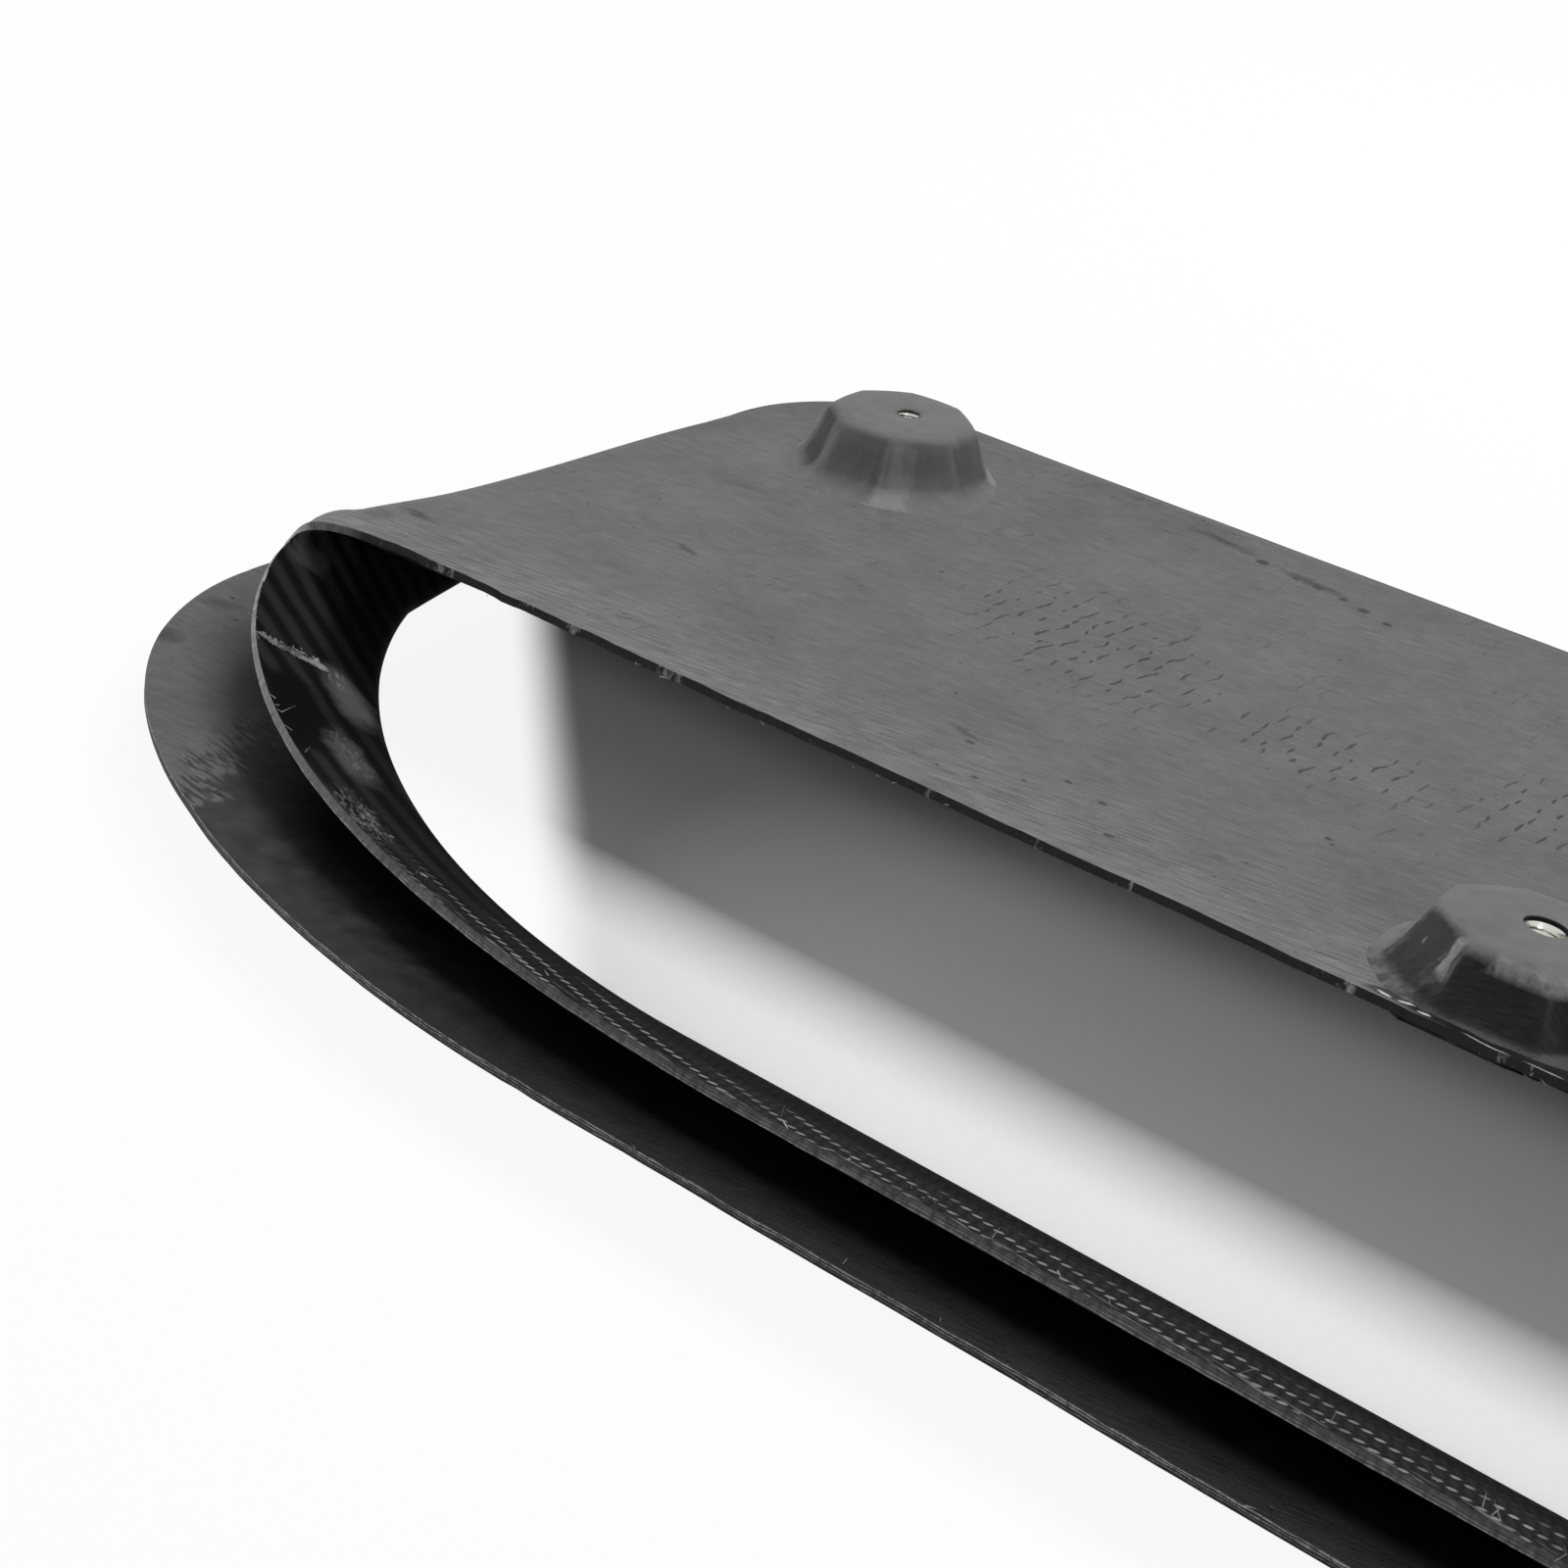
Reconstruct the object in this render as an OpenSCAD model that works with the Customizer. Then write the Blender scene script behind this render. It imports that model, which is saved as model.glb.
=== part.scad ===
// Bonnet scoop, moulded in one piece from carbon fibre, lying with its underside up.
// The flange plane is the bonnet's surface. X runs along the width, Y from the lip to the front edge,
// and Z points away from the bonnet's outside, so the lip's nose is the lowest line, at Z = 0.

/* [Outline] */
// Width of the scoop across the bonnet
scoop_w = 632; // [520:1:760]
// Depth of the scoop from the lip's edge to the front edge
scoop_d = 330; // [300:1:380]
// Width of each big sweep beside the lip's edge
sweep_w = 186; // [160:1:200]
// Depth of each big sweep beside the lip's edge
sweep_d = 115; // [100:1:125]
// How far the sweep bulges past the side before it turns in
sweep_bulge = 11.5; // [6:0.5:14]
// How much each side leans in towards the front edge
side_taper = 15.5; // [4:0.5:24]
// Radius of the two front corners
front_corner_r = 50; // [42:1:60]

/* [Lip] */
// How far the lip's nose stands proud of the bonnet
lip_drop = 12; // [8:0.5:16]
// Outer radius of the lip's nose
nose_r = 3.5; // [3.2:0.1:4.5]
// Distance from the lip's edge to the middle of the nose
nose_in = 39; // [34:0.5:44]
// Width of the nose's sweep at each end of the lip
nose_sweep_w = 168; // [150:1:180]
// Depth of the nose's sweep at each end of the lip
nose_sweep_d = 120.5; // [110:0.5:128]
// Distance from the sides to the fold where the ramp's side wall rises, beside the throat
side_flange_w = 22; // [21:0.5:26]
// Distance from the side and front edges to that fold at the front corners
front_flange_w = 5; // [4:0.5:7]

/* [Throat] */
// Distance from the lip's edge to the trimmed rim of the return wall
rim_in = 17.5; // [14:0.5:20]
// Height of that rim above the bonnet's surface, on the inside
rim_rise = 8; // [5:0.5:11]
// Gap between the return wall's rim and the ramp's free edge, seen from above
throat_gap = 87; // [78:1:96]
// Distance from each side to the end of the throat
throat_end_in = 23.5; // [22.5:0.5:28]
// Width of the throat's sweep at each end
throat_sweep_w = 197; // [175:1:205]
// Width of the small corner between the throat's end and the ramp's free edge
throat_corner_w = 13; // [10:0.5:18]
// Depth of that small corner
throat_corner_d = 6.5; // [6:0.5:12]

/* [Ramp] */
// Height of the ramp's free edge above the bonnet's surface, on the inside
ramp_rise = 24; // [18:0.5:30]
// Height of the ramp's front end above the bonnet's surface
ramp_end_rise = 4; // [3:0.5:6]
// Distance from each side to the ramp's shoulder, beside the throat
shoulder_in = 22; // [20:0.5:25]
// Distance from the side and front edges to the shoulder at the front corners
front_shoulder_in = 9.5; // [9:0.5:13]
// Length of the shoulder's rounding, measured along each of its two faces
shoulder_round = 10; // [7:0.5:12]

/* [Laminate] */
// Thickness of the laminate
skin_t = 2; // [1.6:0.1:2.4]

/* [Bosses] */
// Width of each boss across its flat top
boss_top_d = 41; // [36:1:44]
// Width of each boss across its foot
boss_foot_d = 60; // [56:1:62]
// Height of the two front bosses above the laminate
boss_h = 16; // [15:0.5:19]
// Height of the middle boss above the laminate
throat_boss_h = 14; // [14:0.5:18]
// How flat the eight sides are, from 0 for round to 1 for a full octagon
boss_flat = 0.85; // [0:0.05:1]
// Turn of the eight sides about the boss
boss_turn = 26; // [0:1:44]
// Distance from the middle of the scoop to each front boss
front_boss_x = 240; // [180:1:242]
// Distance from the front edge to each front boss
front_boss_in = 53.5; // [48:0.5:70]
// Distance from the ramp's free edge to the middle boss
throat_boss_in = 31; // [31:0.5:60]
// How far each insert sits from the middle of its boss, towards the front edge
insert_shift = 3; // [0:0.5:4]

/* [Threaded inserts] */
// Outer diameter of each metal insert
insert_d = 14; // [12:0.5:16]
// Length of each metal insert
insert_len = 12; // [10:0.5:13]
// Diameter of the bore, which is the core of an M8 thread
thread_core_d = 6.8; // [5:0.1:8]
// Width of the countersink at the mouth of the bore
countersink_d = 8.4; // [8.1:0.1:9]
// Thickness of the laminate that covers the insert
cover_t = 1.2; // [0.8:0.1:1.4]
// Width of the hole in that cover
cover_hole_d = 9; // [9:0.1:10]
// Width of the glue line around each insert
bond_gap = 0.15; // [0.1:0.05:0.3]

/* [Hidden] */
$fn = 48;

half_w = scoop_w / 2;
half_d = scoop_d / 2;

// Heights: everything above is worked out from the bonnet's surface and raised by the lip's drop
flange_z = lip_drop;

// Centre of the big sweep, of the throat's sweep and of the nose's sweep
sweep_x = -half_w + sweep_w;
sweep_y = -half_d + sweep_d;
rim_y = -half_d + rim_in;
edge_y = rim_y + throat_gap;
throat_x = -half_w + throat_end_in + throat_sweep_w;
throat_sweep_d = throat_gap - throat_corner_d;
throat_y = rim_y + throat_sweep_d;
nose_sweep_x = -half_w + side_flange_w + nose_sweep_w;
nose_y = -half_d + nose_in;
nose_sweep_y = nose_y + nose_sweep_d;

// Front corner
corner_x = -half_w + side_taper + front_corner_r;
corner_y = half_d - front_corner_r;

// Station marks round the left half: 0 middle of the lip, 1 start of the sweep, 2 end of the sweep,
// 3 start of the front corner, 4 its end, 5 middle of the front edge
lip_steps = 3;
sweep_steps = 13;
turn_steps = 9;
turn_from = 1.7;
side_steps = 12;
corner_steps = 7;
front_steps = 3;
throat_turn = 1.85;

// Points along each rib, from the outer edge to the trimmed rim
flange_points = 4;
nose_points = 7;
shoulder_points = 5;
ramp_points = 7;

function lerp(a, b, t) = a + (b - a) * t;
function ease(t) = let (c = min(1, max(0, t))) c * c * (3 - 2 * c);
function unit(v) = v / norm(v);
function steps(from, to, n) = [for (i = [0 : n - 1]) lerp(from, to, i / n)];
function quarter(cx, cy, rx, ry, a) = [cx - rx * cos(a), cy - ry * sin(a)];
function bezier(a, b, c, d, t) = let (u = 1 - t)
    u * u * u * a + 3 * u * u * t * b + 3 * u * t * t * c + t * t * t * d;

// Outline of the flange's side, as x for each y
function side_x(y) = -half_w + side_taper * pow(min(1, max(0, (y - sweep_y) / (corner_y - sweep_y))), 1.6);

// Height of the ramp above the bonnet's surface: a parabola that runs out flat at its front end
function ramp_z(y) = lerp(ramp_end_rise, ramp_rise,
    pow(1 - min(1, max(0, (y - edge_y) / (half_d - edge_y))), 2));
// Height of the slanted plane that the throat is trimmed to
function trim_z(y) = lerp(rim_rise, ramp_rise, (y - rim_y) / throat_gap);
function top_z(y) = y < edge_y ? trim_z(y) : ramp_z(y);

// Plan of the outer edge
function sweep(t) = bezier([sweep_x, -half_d], [sweep_x - 0.55 * sweep_w, -half_d],
    [-half_w - sweep_bulge, sweep_y - 0.6 * sweep_d], [-half_w, sweep_y], t);
function outline(w) =
    w < 1 ? [sweep_x * w, -half_d]
    : w < 2 ? sweep(w - 1)
    : w < 3 ? let (y = lerp(sweep_y, corner_y, w - 2)) [side_x(y), y]
    : w < 4 ? quarter(corner_x, corner_y, front_corner_r, -front_corner_r, 90 * (w - 3))
    : [corner_x * (5 - w), half_d];

// Plan of the middle of the nose, and of the fold that it becomes beside the ramp
nose_turn = 16;
function nose_sweep(a) = quarter(nose_sweep_x, nose_sweep_y, nose_sweep_w, nose_sweep_d, a);
function nose(w) =
    w < 1 ? [nose_sweep_x * w, nose_y]
    : w < 2 ? nose_sweep(lerp(90, nose_turn, w - 1))
    : w < 3 ? let (
        from = nose_sweep(nose_turn),
        y = lerp(from.y, corner_y, w - 2),
        extra = from.x - side_x(from.y) - side_flange_w)
        [side_x(y) + lerp(side_flange_w, front_flange_w, ease((w - 2.1) / 0.9)) + extra * pow(3 - w, 3), y]
    : w < 4 ? let (r = front_corner_r - front_flange_w) quarter(corner_x, corner_y, r, -r, 90 * (w - 3))
    : [corner_x * (5 - w), half_d - front_flange_w];

// Distance from the outer edge to the shoulder, a sharp line before it is rounded
function shoulder_inset(w) = lerp(shoulder_in, front_shoulder_in, ease((w - 2.1) / 0.9));

// Plan of the throat's trimmed rim
rim_reach = 0.76;
rim_climb = 0.276;
rim_tuck = 2.9;
throat_end_x = -half_w + throat_end_in;
corner_end_x = throat_end_x + throat_corner_w;
function rim(w) =
    w < 1 ? [throat_x * w, rim_y]
    : w < throat_turn ? bezier([throat_x, rim_y], [throat_x - rim_reach * throat_sweep_w, rim_y],
        [throat_end_x + rim_tuck, throat_y - rim_climb * throat_sweep_d], [throat_end_x, throat_y],
        (w - 1) / (throat_turn - 1))
    : w < 2 ? quarter(corner_end_x, throat_y, throat_corner_w, -throat_corner_d,
        90 * (w - throat_turn) / (2 - throat_turn))
    : w < 3 ? [lerp(corner_end_x, corner_end_x + 80, w - 2), edge_y]
    : w < 4 ? [lerp(corner_end_x + 80, corner_end_x + 150, w - 3), edge_y]
    : [(corner_end_x + 150) * (5 - w), edge_y];

// The lip fades into the flat side flange, and its nose opens into a wide curve
function drop_at(w) = lip_drop * (1 - ease((w - 1.2) / 1.8));
function nose_r_at(w) = nose_r + 1.5 * ease(w - 1) - 2.5 * ease(w - 2);

// A point of a rib's own upright plane, in from the middle of the nose by h and up by z
function on_plane(k, inward, h, z) = [k.x + inward.x * h, k.y + inward.y * h, z];
function bend(a, v, b, t) = (1 - t) * (1 - t) * a + 2 * t * (1 - t) * v + t * t * b;

// One rib of the moulded face, from the outer edge over the nose and the wall to the rim
fold_share = 0.35;
fold_drop = 0.12;
shoulder_from = 1.74;
shoulder_over = 0.24;
function rib(w) =
    let (
        p = outline(w),
        k = nose(w),
        q = rim(w),
        inward = unit(k - p),
        s = p + inward * shoulder_inset(w),
        span = norm(k - p),
        r = nose_r_at(w),
        drop = drop_at(w),
        zc = r - drop,
        fold_h = -span * (1 - fold_share),
        fold_z = -fold_drop * drop,
        reach = norm([fold_h, zc - fold_z]),
        slope = atan2(zc - fold_z, -fold_h) - asin(r / reach),
        rim_pt = [q.x, q.y, trim_z(q.y)],
        on_side = ease((w - shoulder_from) / shoulder_over),
        corner_pt = [s.x, s.y, top_z(s.y)],
        aim = lerp(rim_pt, corner_pt, on_side),
        aim_h = (aim.x - k.x) * inward.x + (aim.y - k.y) * inward.y,
        aim_z = aim.z - zc,
        lift = atan2(aim_z, aim_h) - acos(r / norm([aim_h, aim_z])),
        start = slope - 90,
        arc = [for (i = [0 : nose_points - 1])
            let (a = lerp(start, lift, i / (nose_points - 1)))
            on_plane(k, inward, r * cos(a), zc + r * sin(a))],
        edge = [p.x, p.y, 0],
        fold = on_plane(k, inward, fold_h, fold_z),
        flange = [for (i = [0 : flange_points - 1]) bend(edge, fold, arc[0], i / flange_points)],
        foot = arc[nose_points - 1],
        top = lerp(lerp(foot, rim_pt, 0.6), corner_pt, on_side),
        round_l = min(shoulder_round, 0.6 * norm(foot - top), 0.45 * norm(rim_pt - top)),
        up = unit(foot - top),
        out_share = round_l / norm(rim_pt - top),
        climb = function (f) let (g = lerp(top, rim_pt, f))
            [g.x, g.y, lerp(g.z, ramp_z(g.y), w < 2 ? 0 : 1)],
        wall = [lerp(foot, top + up * round_l, 0.5)],
        shoulder_arc = [for (i = [0 : shoulder_points - 1])
            bend(top + up * round_l, top, climb(out_share), i / (shoulder_points - 1))],
        ramp = [for (i = [1 : ramp_points]) climb(lerp(out_share, 1, i / ramp_points))]
    )
    concat(flange, arc, wall, shoulder_arc, ramp);

marks = concat(steps(0, 1, lip_steps), steps(1, turn_from, sweep_steps), steps(turn_from, 2, turn_steps),
    steps(2, 3, side_steps), steps(3, 4, corner_steps), steps(4, 5, front_steps), [5]);
left_ribs = [for (w = marks) rib(w)];
right_ribs = [for (i = [len(marks) - 2 : -1 : 1]) [for (v = left_ribs[i]) [-v.x, v.y, v.z]]];
moulded = concat(left_ribs, right_ribs);
ribs = len(moulded);
rib_len = len(moulded[0]);

// The inner face is the moulded face, moved along its own normal by the laminate's thickness
function normal_at(i, j) =
    let (
        before = moulded[(i + ribs - 1) % ribs][j],
        after = moulded[(i + 1) % ribs][j],
        along = moulded[i][min(rib_len - 1, j + 1)] - moulded[i][max(0, j - 1)]
    )
    unit(cross(along, after - before));
face_normals = [for (i = [0 : ribs - 1]) [for (j = [0 : rib_len - 1]) normal_at(i, j)]];
function soften(field) = [for (i = [0 : ribs - 1]) [for (j = [0 : rib_len - 1])
    unit(field[(i + ribs - 1) % ribs][j] + 2 * field[i][j] + field[(i + 1) % ribs][j])]];
lay_way = soften(soften(face_normals));
laid = [for (i = [0 : ribs - 1]) [for (j = [0 : rib_len - 1]) moulded[i][j] + skin_t * lay_way[i][j]]];

module laminate() {
    points = [for (face = [moulded, laid]) for (one = face) each one];
    inner = ribs * rib_len;
    at = function (face, i, j) face * inner + (i % ribs) * rib_len + j;
    face_pair = function (a, b, c, d) [[a, b, c], [a, c, d]];
    skins = [for (i = [0 : ribs - 1]) for (j = [0 : rib_len - 2]) each concat(
        face_pair(at(0, i, j), at(0, i, j + 1), at(0, i + 1, j + 1), at(0, i + 1, j)),
        face_pair(at(1, i, j), at(1, i + 1, j), at(1, i + 1, j + 1), at(1, i, j + 1)))];
    rims = [for (i = [0 : ribs - 1]) let (e = rib_len - 1) each concat(
        face_pair(at(0, i, 0), at(0, i + 1, 0), at(1, i + 1, 0), at(1, i, 0)),
        face_pair(at(0, i, e), at(1, i, e), at(1, i + 1, e), at(0, i + 1, e)))];
    translate([0, 0, flange_z]) polyhedron(points, concat(skins, rims));
}

// Bosses: the place and height of each, and the lean of the ramp under it
boss_places = [
    [-front_boss_x, half_d - front_boss_in, boss_h],
    [front_boss_x, half_d - front_boss_in, boss_h],
    [0, edge_y + throat_boss_in, throat_boss_h]
];
function lean_at(y) = atan(
    2 * (ramp_rise - ramp_end_rise) * (1 - (y - edge_y) / (half_d - edge_y)) / (half_d - edge_y));

// Puts a child on the laminate's inner face, square to the ramp
module on_ramp(place) {
    translate([place.x, place.y, flange_z + ramp_z(place.y)]) rotate([-lean_at(place.y), 0, 0])
        translate([0, 0, skin_t]) children();
}

// Levels of a boss: height, radius, and share of the flats
foot_sink = 1.3;
boss_sides = 32;
foot_r = boss_foot_d / 2;
top_r = boss_top_d / 2;
function boss_levels(h) = [
    [-foot_sink, foot_r, 0.3],
    [0.2, foot_r - 0.8, 0.4],
    [h * 0.12, lerp(foot_r, top_r, 0.35), 0.8],
    [h * 0.4, lerp(foot_r, top_r, 0.6), 1],
    [h - 3, lerp(foot_r, top_r, 0.86), 1],
    [h - 0.8, top_r + 0.2, 0.8],
    [h, top_r - 1.6, 0.6]
];
// Radius of the rounded octagon at angle a from one of its corners
function flat_r(r, share, a) = lerp(r, r * cos(22.5) / cos((a % 45) - 22.5), boss_flat * share);

module boss(h) {
    levels = boss_levels(h);
    last = len(levels) - 1;
    points = [for (l = levels) for (i = [0 : boss_sides - 1]) let (a = 360 * i / boss_sides)
        let (r = flat_r(l[1], l[2], a)) [r * cos(a + boss_turn), r * sin(a + boss_turn), l[0]]];
    at = function (l, i) l * boss_sides + i % boss_sides;
    sides = [for (l = [0 : last - 1]) for (i = [0 : boss_sides - 1])
        each [[at(l, i), at(l + 1, i), at(l + 1, i + 1)], [at(l, i), at(l + 1, i + 1), at(l, i + 1)]]];
    foot = [for (i = [0 : boss_sides - 1]) at(0, i)];
    top = [for (i = [boss_sides - 1 : -1 : 0]) at(last, i)];
    polyhedron(points, concat(sides, [foot, top]));
}

module insert_pocket(h) {
    translate([0, insert_shift, h - cover_t - insert_len])
        cylinder(h = insert_len + bond_gap, d = insert_d + 2 * bond_gap);
    translate([0, insert_shift, h - cover_t - 1]) cylinder(h = cover_t + 2, d = cover_hole_d);
}

// One moulding: flange, lip, return wall, side walls and ramp, with the bosses laid up on it
module scoop_shell() {
    color("#5c5c5c") difference() {
        union() {
            laminate();
            for (place = boss_places) on_ramp(place) boss(place[2]);
        }
        for (place = boss_places) on_ramp(place) insert_pocket(place[2]);
    }
}

module threaded_insert() {
    chamfer = (countersink_d - thread_core_d) / 2;
    difference() {
        cylinder(h = insert_len, d = insert_d);
        translate([0, 0, -1]) cylinder(h = insert_len + 2, d = thread_core_d);
        translate([0, 0, insert_len - chamfer])
            cylinder(h = chamfer, d1 = thread_core_d, d2 = countersink_d);
    }
}

// Metal inserts, one in each boss
module threaded_inserts() {
    for (place = boss_places) color("#b9bbbd") on_ramp(place)
        translate([0, insert_shift, place[2] - cover_t - insert_len]) threaded_insert();
}

scoop_shell();
threaded_inserts();
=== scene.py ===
import math
import random
import bpy
import bmesh
import numpy as np
from mathutils import Matrix, Vector, noise


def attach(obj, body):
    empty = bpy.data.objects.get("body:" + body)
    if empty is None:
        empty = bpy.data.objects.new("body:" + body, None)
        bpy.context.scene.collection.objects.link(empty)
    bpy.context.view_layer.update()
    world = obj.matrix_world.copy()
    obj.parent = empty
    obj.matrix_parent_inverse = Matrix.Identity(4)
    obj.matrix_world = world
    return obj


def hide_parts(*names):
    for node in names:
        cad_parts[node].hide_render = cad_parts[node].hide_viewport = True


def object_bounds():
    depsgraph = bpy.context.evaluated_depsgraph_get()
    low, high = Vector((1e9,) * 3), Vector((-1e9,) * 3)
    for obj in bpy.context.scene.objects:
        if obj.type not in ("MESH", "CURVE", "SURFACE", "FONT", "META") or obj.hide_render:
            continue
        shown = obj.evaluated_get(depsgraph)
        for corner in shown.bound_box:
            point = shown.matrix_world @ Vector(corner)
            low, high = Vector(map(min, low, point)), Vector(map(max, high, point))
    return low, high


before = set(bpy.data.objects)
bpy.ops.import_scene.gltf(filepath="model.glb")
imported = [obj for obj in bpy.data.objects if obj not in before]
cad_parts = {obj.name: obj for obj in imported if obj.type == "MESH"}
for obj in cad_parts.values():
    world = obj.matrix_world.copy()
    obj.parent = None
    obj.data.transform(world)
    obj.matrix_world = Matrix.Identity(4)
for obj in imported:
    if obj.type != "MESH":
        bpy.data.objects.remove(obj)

cad_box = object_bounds()
MM = 0.001


# ---------------------------------------------------------------- camera
# The photograph's view: from the right of the middle, over the lip, about 30 degrees down
lens = bpy.data.cameras.new("photo_view")
lens.sensor_width = 36.0
lens.lens = 56.25
lens.clip_start = 0.01
lens.clip_end = 30.0
eye = bpy.data.objects.new("photo_view", lens)
right, up, ahead = (0.7983, 0.5925, 0.1084), (-0.3797, 0.3552, 0.8542), (-0.4676, 0.7231, -0.5085)
eye.matrix_world = Matrix([[right[i], up[i], -ahead[i], (0.0919, -0.43775, 0.29069)[i]] for i in range(3)]
                          + [[0, 0, 0, 1]])
bpy.context.scene.collection.objects.link(eye)
bpy.context.scene.camera = eye


# ---------------------------------------------------------------- the moulding's own sizes, in millimetres
SCOOP_W, SCOOP_D, SWEEP_W, SWEEP_D, SWEEP_BULGE = 632.0, 330.0, 186.0, 115.0, 11.5
SIDE_TAPER, CORNER_R = 15.5, 50.0
DROP, NOSE_R, NOSE_IN, NOSE_SWEEP_W, NOSE_SWEEP_D = 12.0, 3.5, 39.0, 168.0, 120.5
SIDE_FLANGE, FRONT_FLANGE = 22.0, 5.0
RIM_IN, RIM_RISE, GAP, THROAT_END, THROAT_SWEEP = 17.5, 8.0, 87.0, 23.5, 197.0
THROAT_CORNER_W, THROAT_CORNER_D, THROAT_TURN = 13.0, 6.5, 1.85
RAMP_RISE, RAMP_END, SHOULDER_IN, FRONT_SHOULDER, SHOULDER_ROUND = 24.0, 4.0, 22.0, 9.5, 10.0
SKIN, GROUND_OFF = 2.0, 1.5
BOSS_TOP, BOSS_FOOT, BOSS_FLAT, BOSS_TURN = 41.0, 60.0, 0.85, 26.0
COVER, COVER_HOLE, INSERT_D, INSERT_LEN, INSERT_SHIFT = 1.2, 9.0, 14.0, 12.0, 3.0

HALF_W, HALF_D = SCOOP_W / 2, SCOOP_D / 2
SWEEP_X, SWEEP_Y = -HALF_W + SWEEP_W, -HALF_D + SWEEP_D
RIM_Y = -HALF_D + RIM_IN
EDGE_Y = RIM_Y + GAP
THROAT_X = -HALF_W + THROAT_END + THROAT_SWEEP
THROAT_D = GAP - THROAT_CORNER_D
THROAT_Y = RIM_Y + THROAT_D
NOSE_X = -HALF_W + SIDE_FLANGE + NOSE_SWEEP_W
NOSE_Y = -HALF_D + NOSE_IN
CORNER_X, CORNER_Y = -HALF_W + SIDE_TAPER + CORNER_R, HALF_D - CORNER_R
THROAT_END_X = -HALF_W + THROAT_END
CORNER_END_X = THROAT_END_X + THROAT_CORNER_W
BOSSES = [(-240.0, HALF_D - 53.5, 16.0), (240.0, HALF_D - 53.5, 16.0), (0.0, EDGE_Y + 31.0, 14.0)]


def blend(a, b, t):
    return a + (b - a) * t


def clamp(v):
    return min(max(v, 0.0), 1.0)


def ease(t):
    c = clamp(t)
    return c * c * (3 - 2 * c)


def unit(v):
    return v / np.linalg.norm(v)


def quarter(cx, cy, rx, ry, deg):
    a = math.radians(deg)
    return np.array([cx - rx * math.cos(a), cy - ry * math.sin(a)])


def bezier(a, b, c, d, t):
    u = 1 - t
    return u ** 3 * np.array(a) + 3 * u * u * t * np.array(b) + 3 * u * t * t * np.array(c) + t ** 3 * np.array(d)


def bend(a, v, b, t):
    return (1 - t) ** 2 * a + 2 * t * (1 - t) * v + t * t * b


def side_x(y):
    return -HALF_W + SIDE_TAPER * clamp((y - SWEEP_Y) / (CORNER_Y - SWEEP_Y)) ** 1.6


def ramp_z(y):
    return blend(RAMP_END, RAMP_RISE, (1 - clamp((y - EDGE_Y) / (HALF_D - EDGE_Y))) ** 2)


def trim_z(y):
    return blend(RIM_RISE, RAMP_RISE, (y - RIM_Y) / GAP)


def outline(w):
    if w < 1:
        return np.array([SWEEP_X * w, -HALF_D])
    if w < 2:
        return bezier([SWEEP_X, -HALF_D], [SWEEP_X - 0.55 * SWEEP_W, -HALF_D],
                      [-HALF_W - SWEEP_BULGE, SWEEP_Y - 0.6 * SWEEP_D], [-HALF_W, SWEEP_Y], w - 1)
    if w < 3:
        y = blend(SWEEP_Y, CORNER_Y, w - 2)
        return np.array([side_x(y), y])
    if w < 4:
        return quarter(CORNER_X, CORNER_Y, CORNER_R, -CORNER_R, 90 * (w - 3))
    return np.array([CORNER_X * (5 - w), HALF_D])


def nose_sweep(deg):
    return quarter(NOSE_X, NOSE_Y + NOSE_SWEEP_D, NOSE_SWEEP_W, NOSE_SWEEP_D, deg)


def nose(w):
    if w < 1:
        return np.array([NOSE_X * w, NOSE_Y])
    if w < 2:
        return nose_sweep(blend(90, 16, w - 1))
    if w < 3:
        start = nose_sweep(16)
        y = blend(start[1], CORNER_Y, w - 2)
        extra = start[0] - side_x(start[1]) - SIDE_FLANGE
        return np.array([side_x(y) + blend(SIDE_FLANGE, FRONT_FLANGE, ease((w - 2.1) / 0.9)) + extra * (3 - w) ** 3, y])
    if w < 4:
        r = CORNER_R - FRONT_FLANGE
        return quarter(CORNER_X, CORNER_Y, r, -r, 90 * (w - 3))
    return np.array([CORNER_X * (5 - w), HALF_D - FRONT_FLANGE])


def rim(w):
    if w < 1:
        return np.array([THROAT_X * w, RIM_Y])
    if w < THROAT_TURN:
        return bezier([THROAT_X, RIM_Y], [THROAT_X - 0.76 * THROAT_SWEEP, RIM_Y],
                      [THROAT_END_X + 2.9, THROAT_Y - 0.276 * THROAT_D], [THROAT_END_X, THROAT_Y],
                      (w - 1) / (THROAT_TURN - 1))
    if w < 2:
        return quarter(CORNER_END_X, THROAT_Y, THROAT_CORNER_W, -THROAT_CORNER_D,
                       90 * (w - THROAT_TURN) / (2 - THROAT_TURN))
    if w < 3:
        return np.array([blend(CORNER_END_X, CORNER_END_X + 80, w - 2), EDGE_Y])
    if w < 4:
        return np.array([blend(CORNER_END_X + 80, CORNER_END_X + 150, w - 3), EDGE_Y])
    return np.array([(CORNER_END_X + 150) * (5 - w), EDGE_Y])


# Points along one rib: flange, nose, wall, shoulder, ramp
FLANGE_N, NOSE_N, WALL_N, SHOULDER_N, RAMP_N = 9, 11, 6, 9, 26


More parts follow.
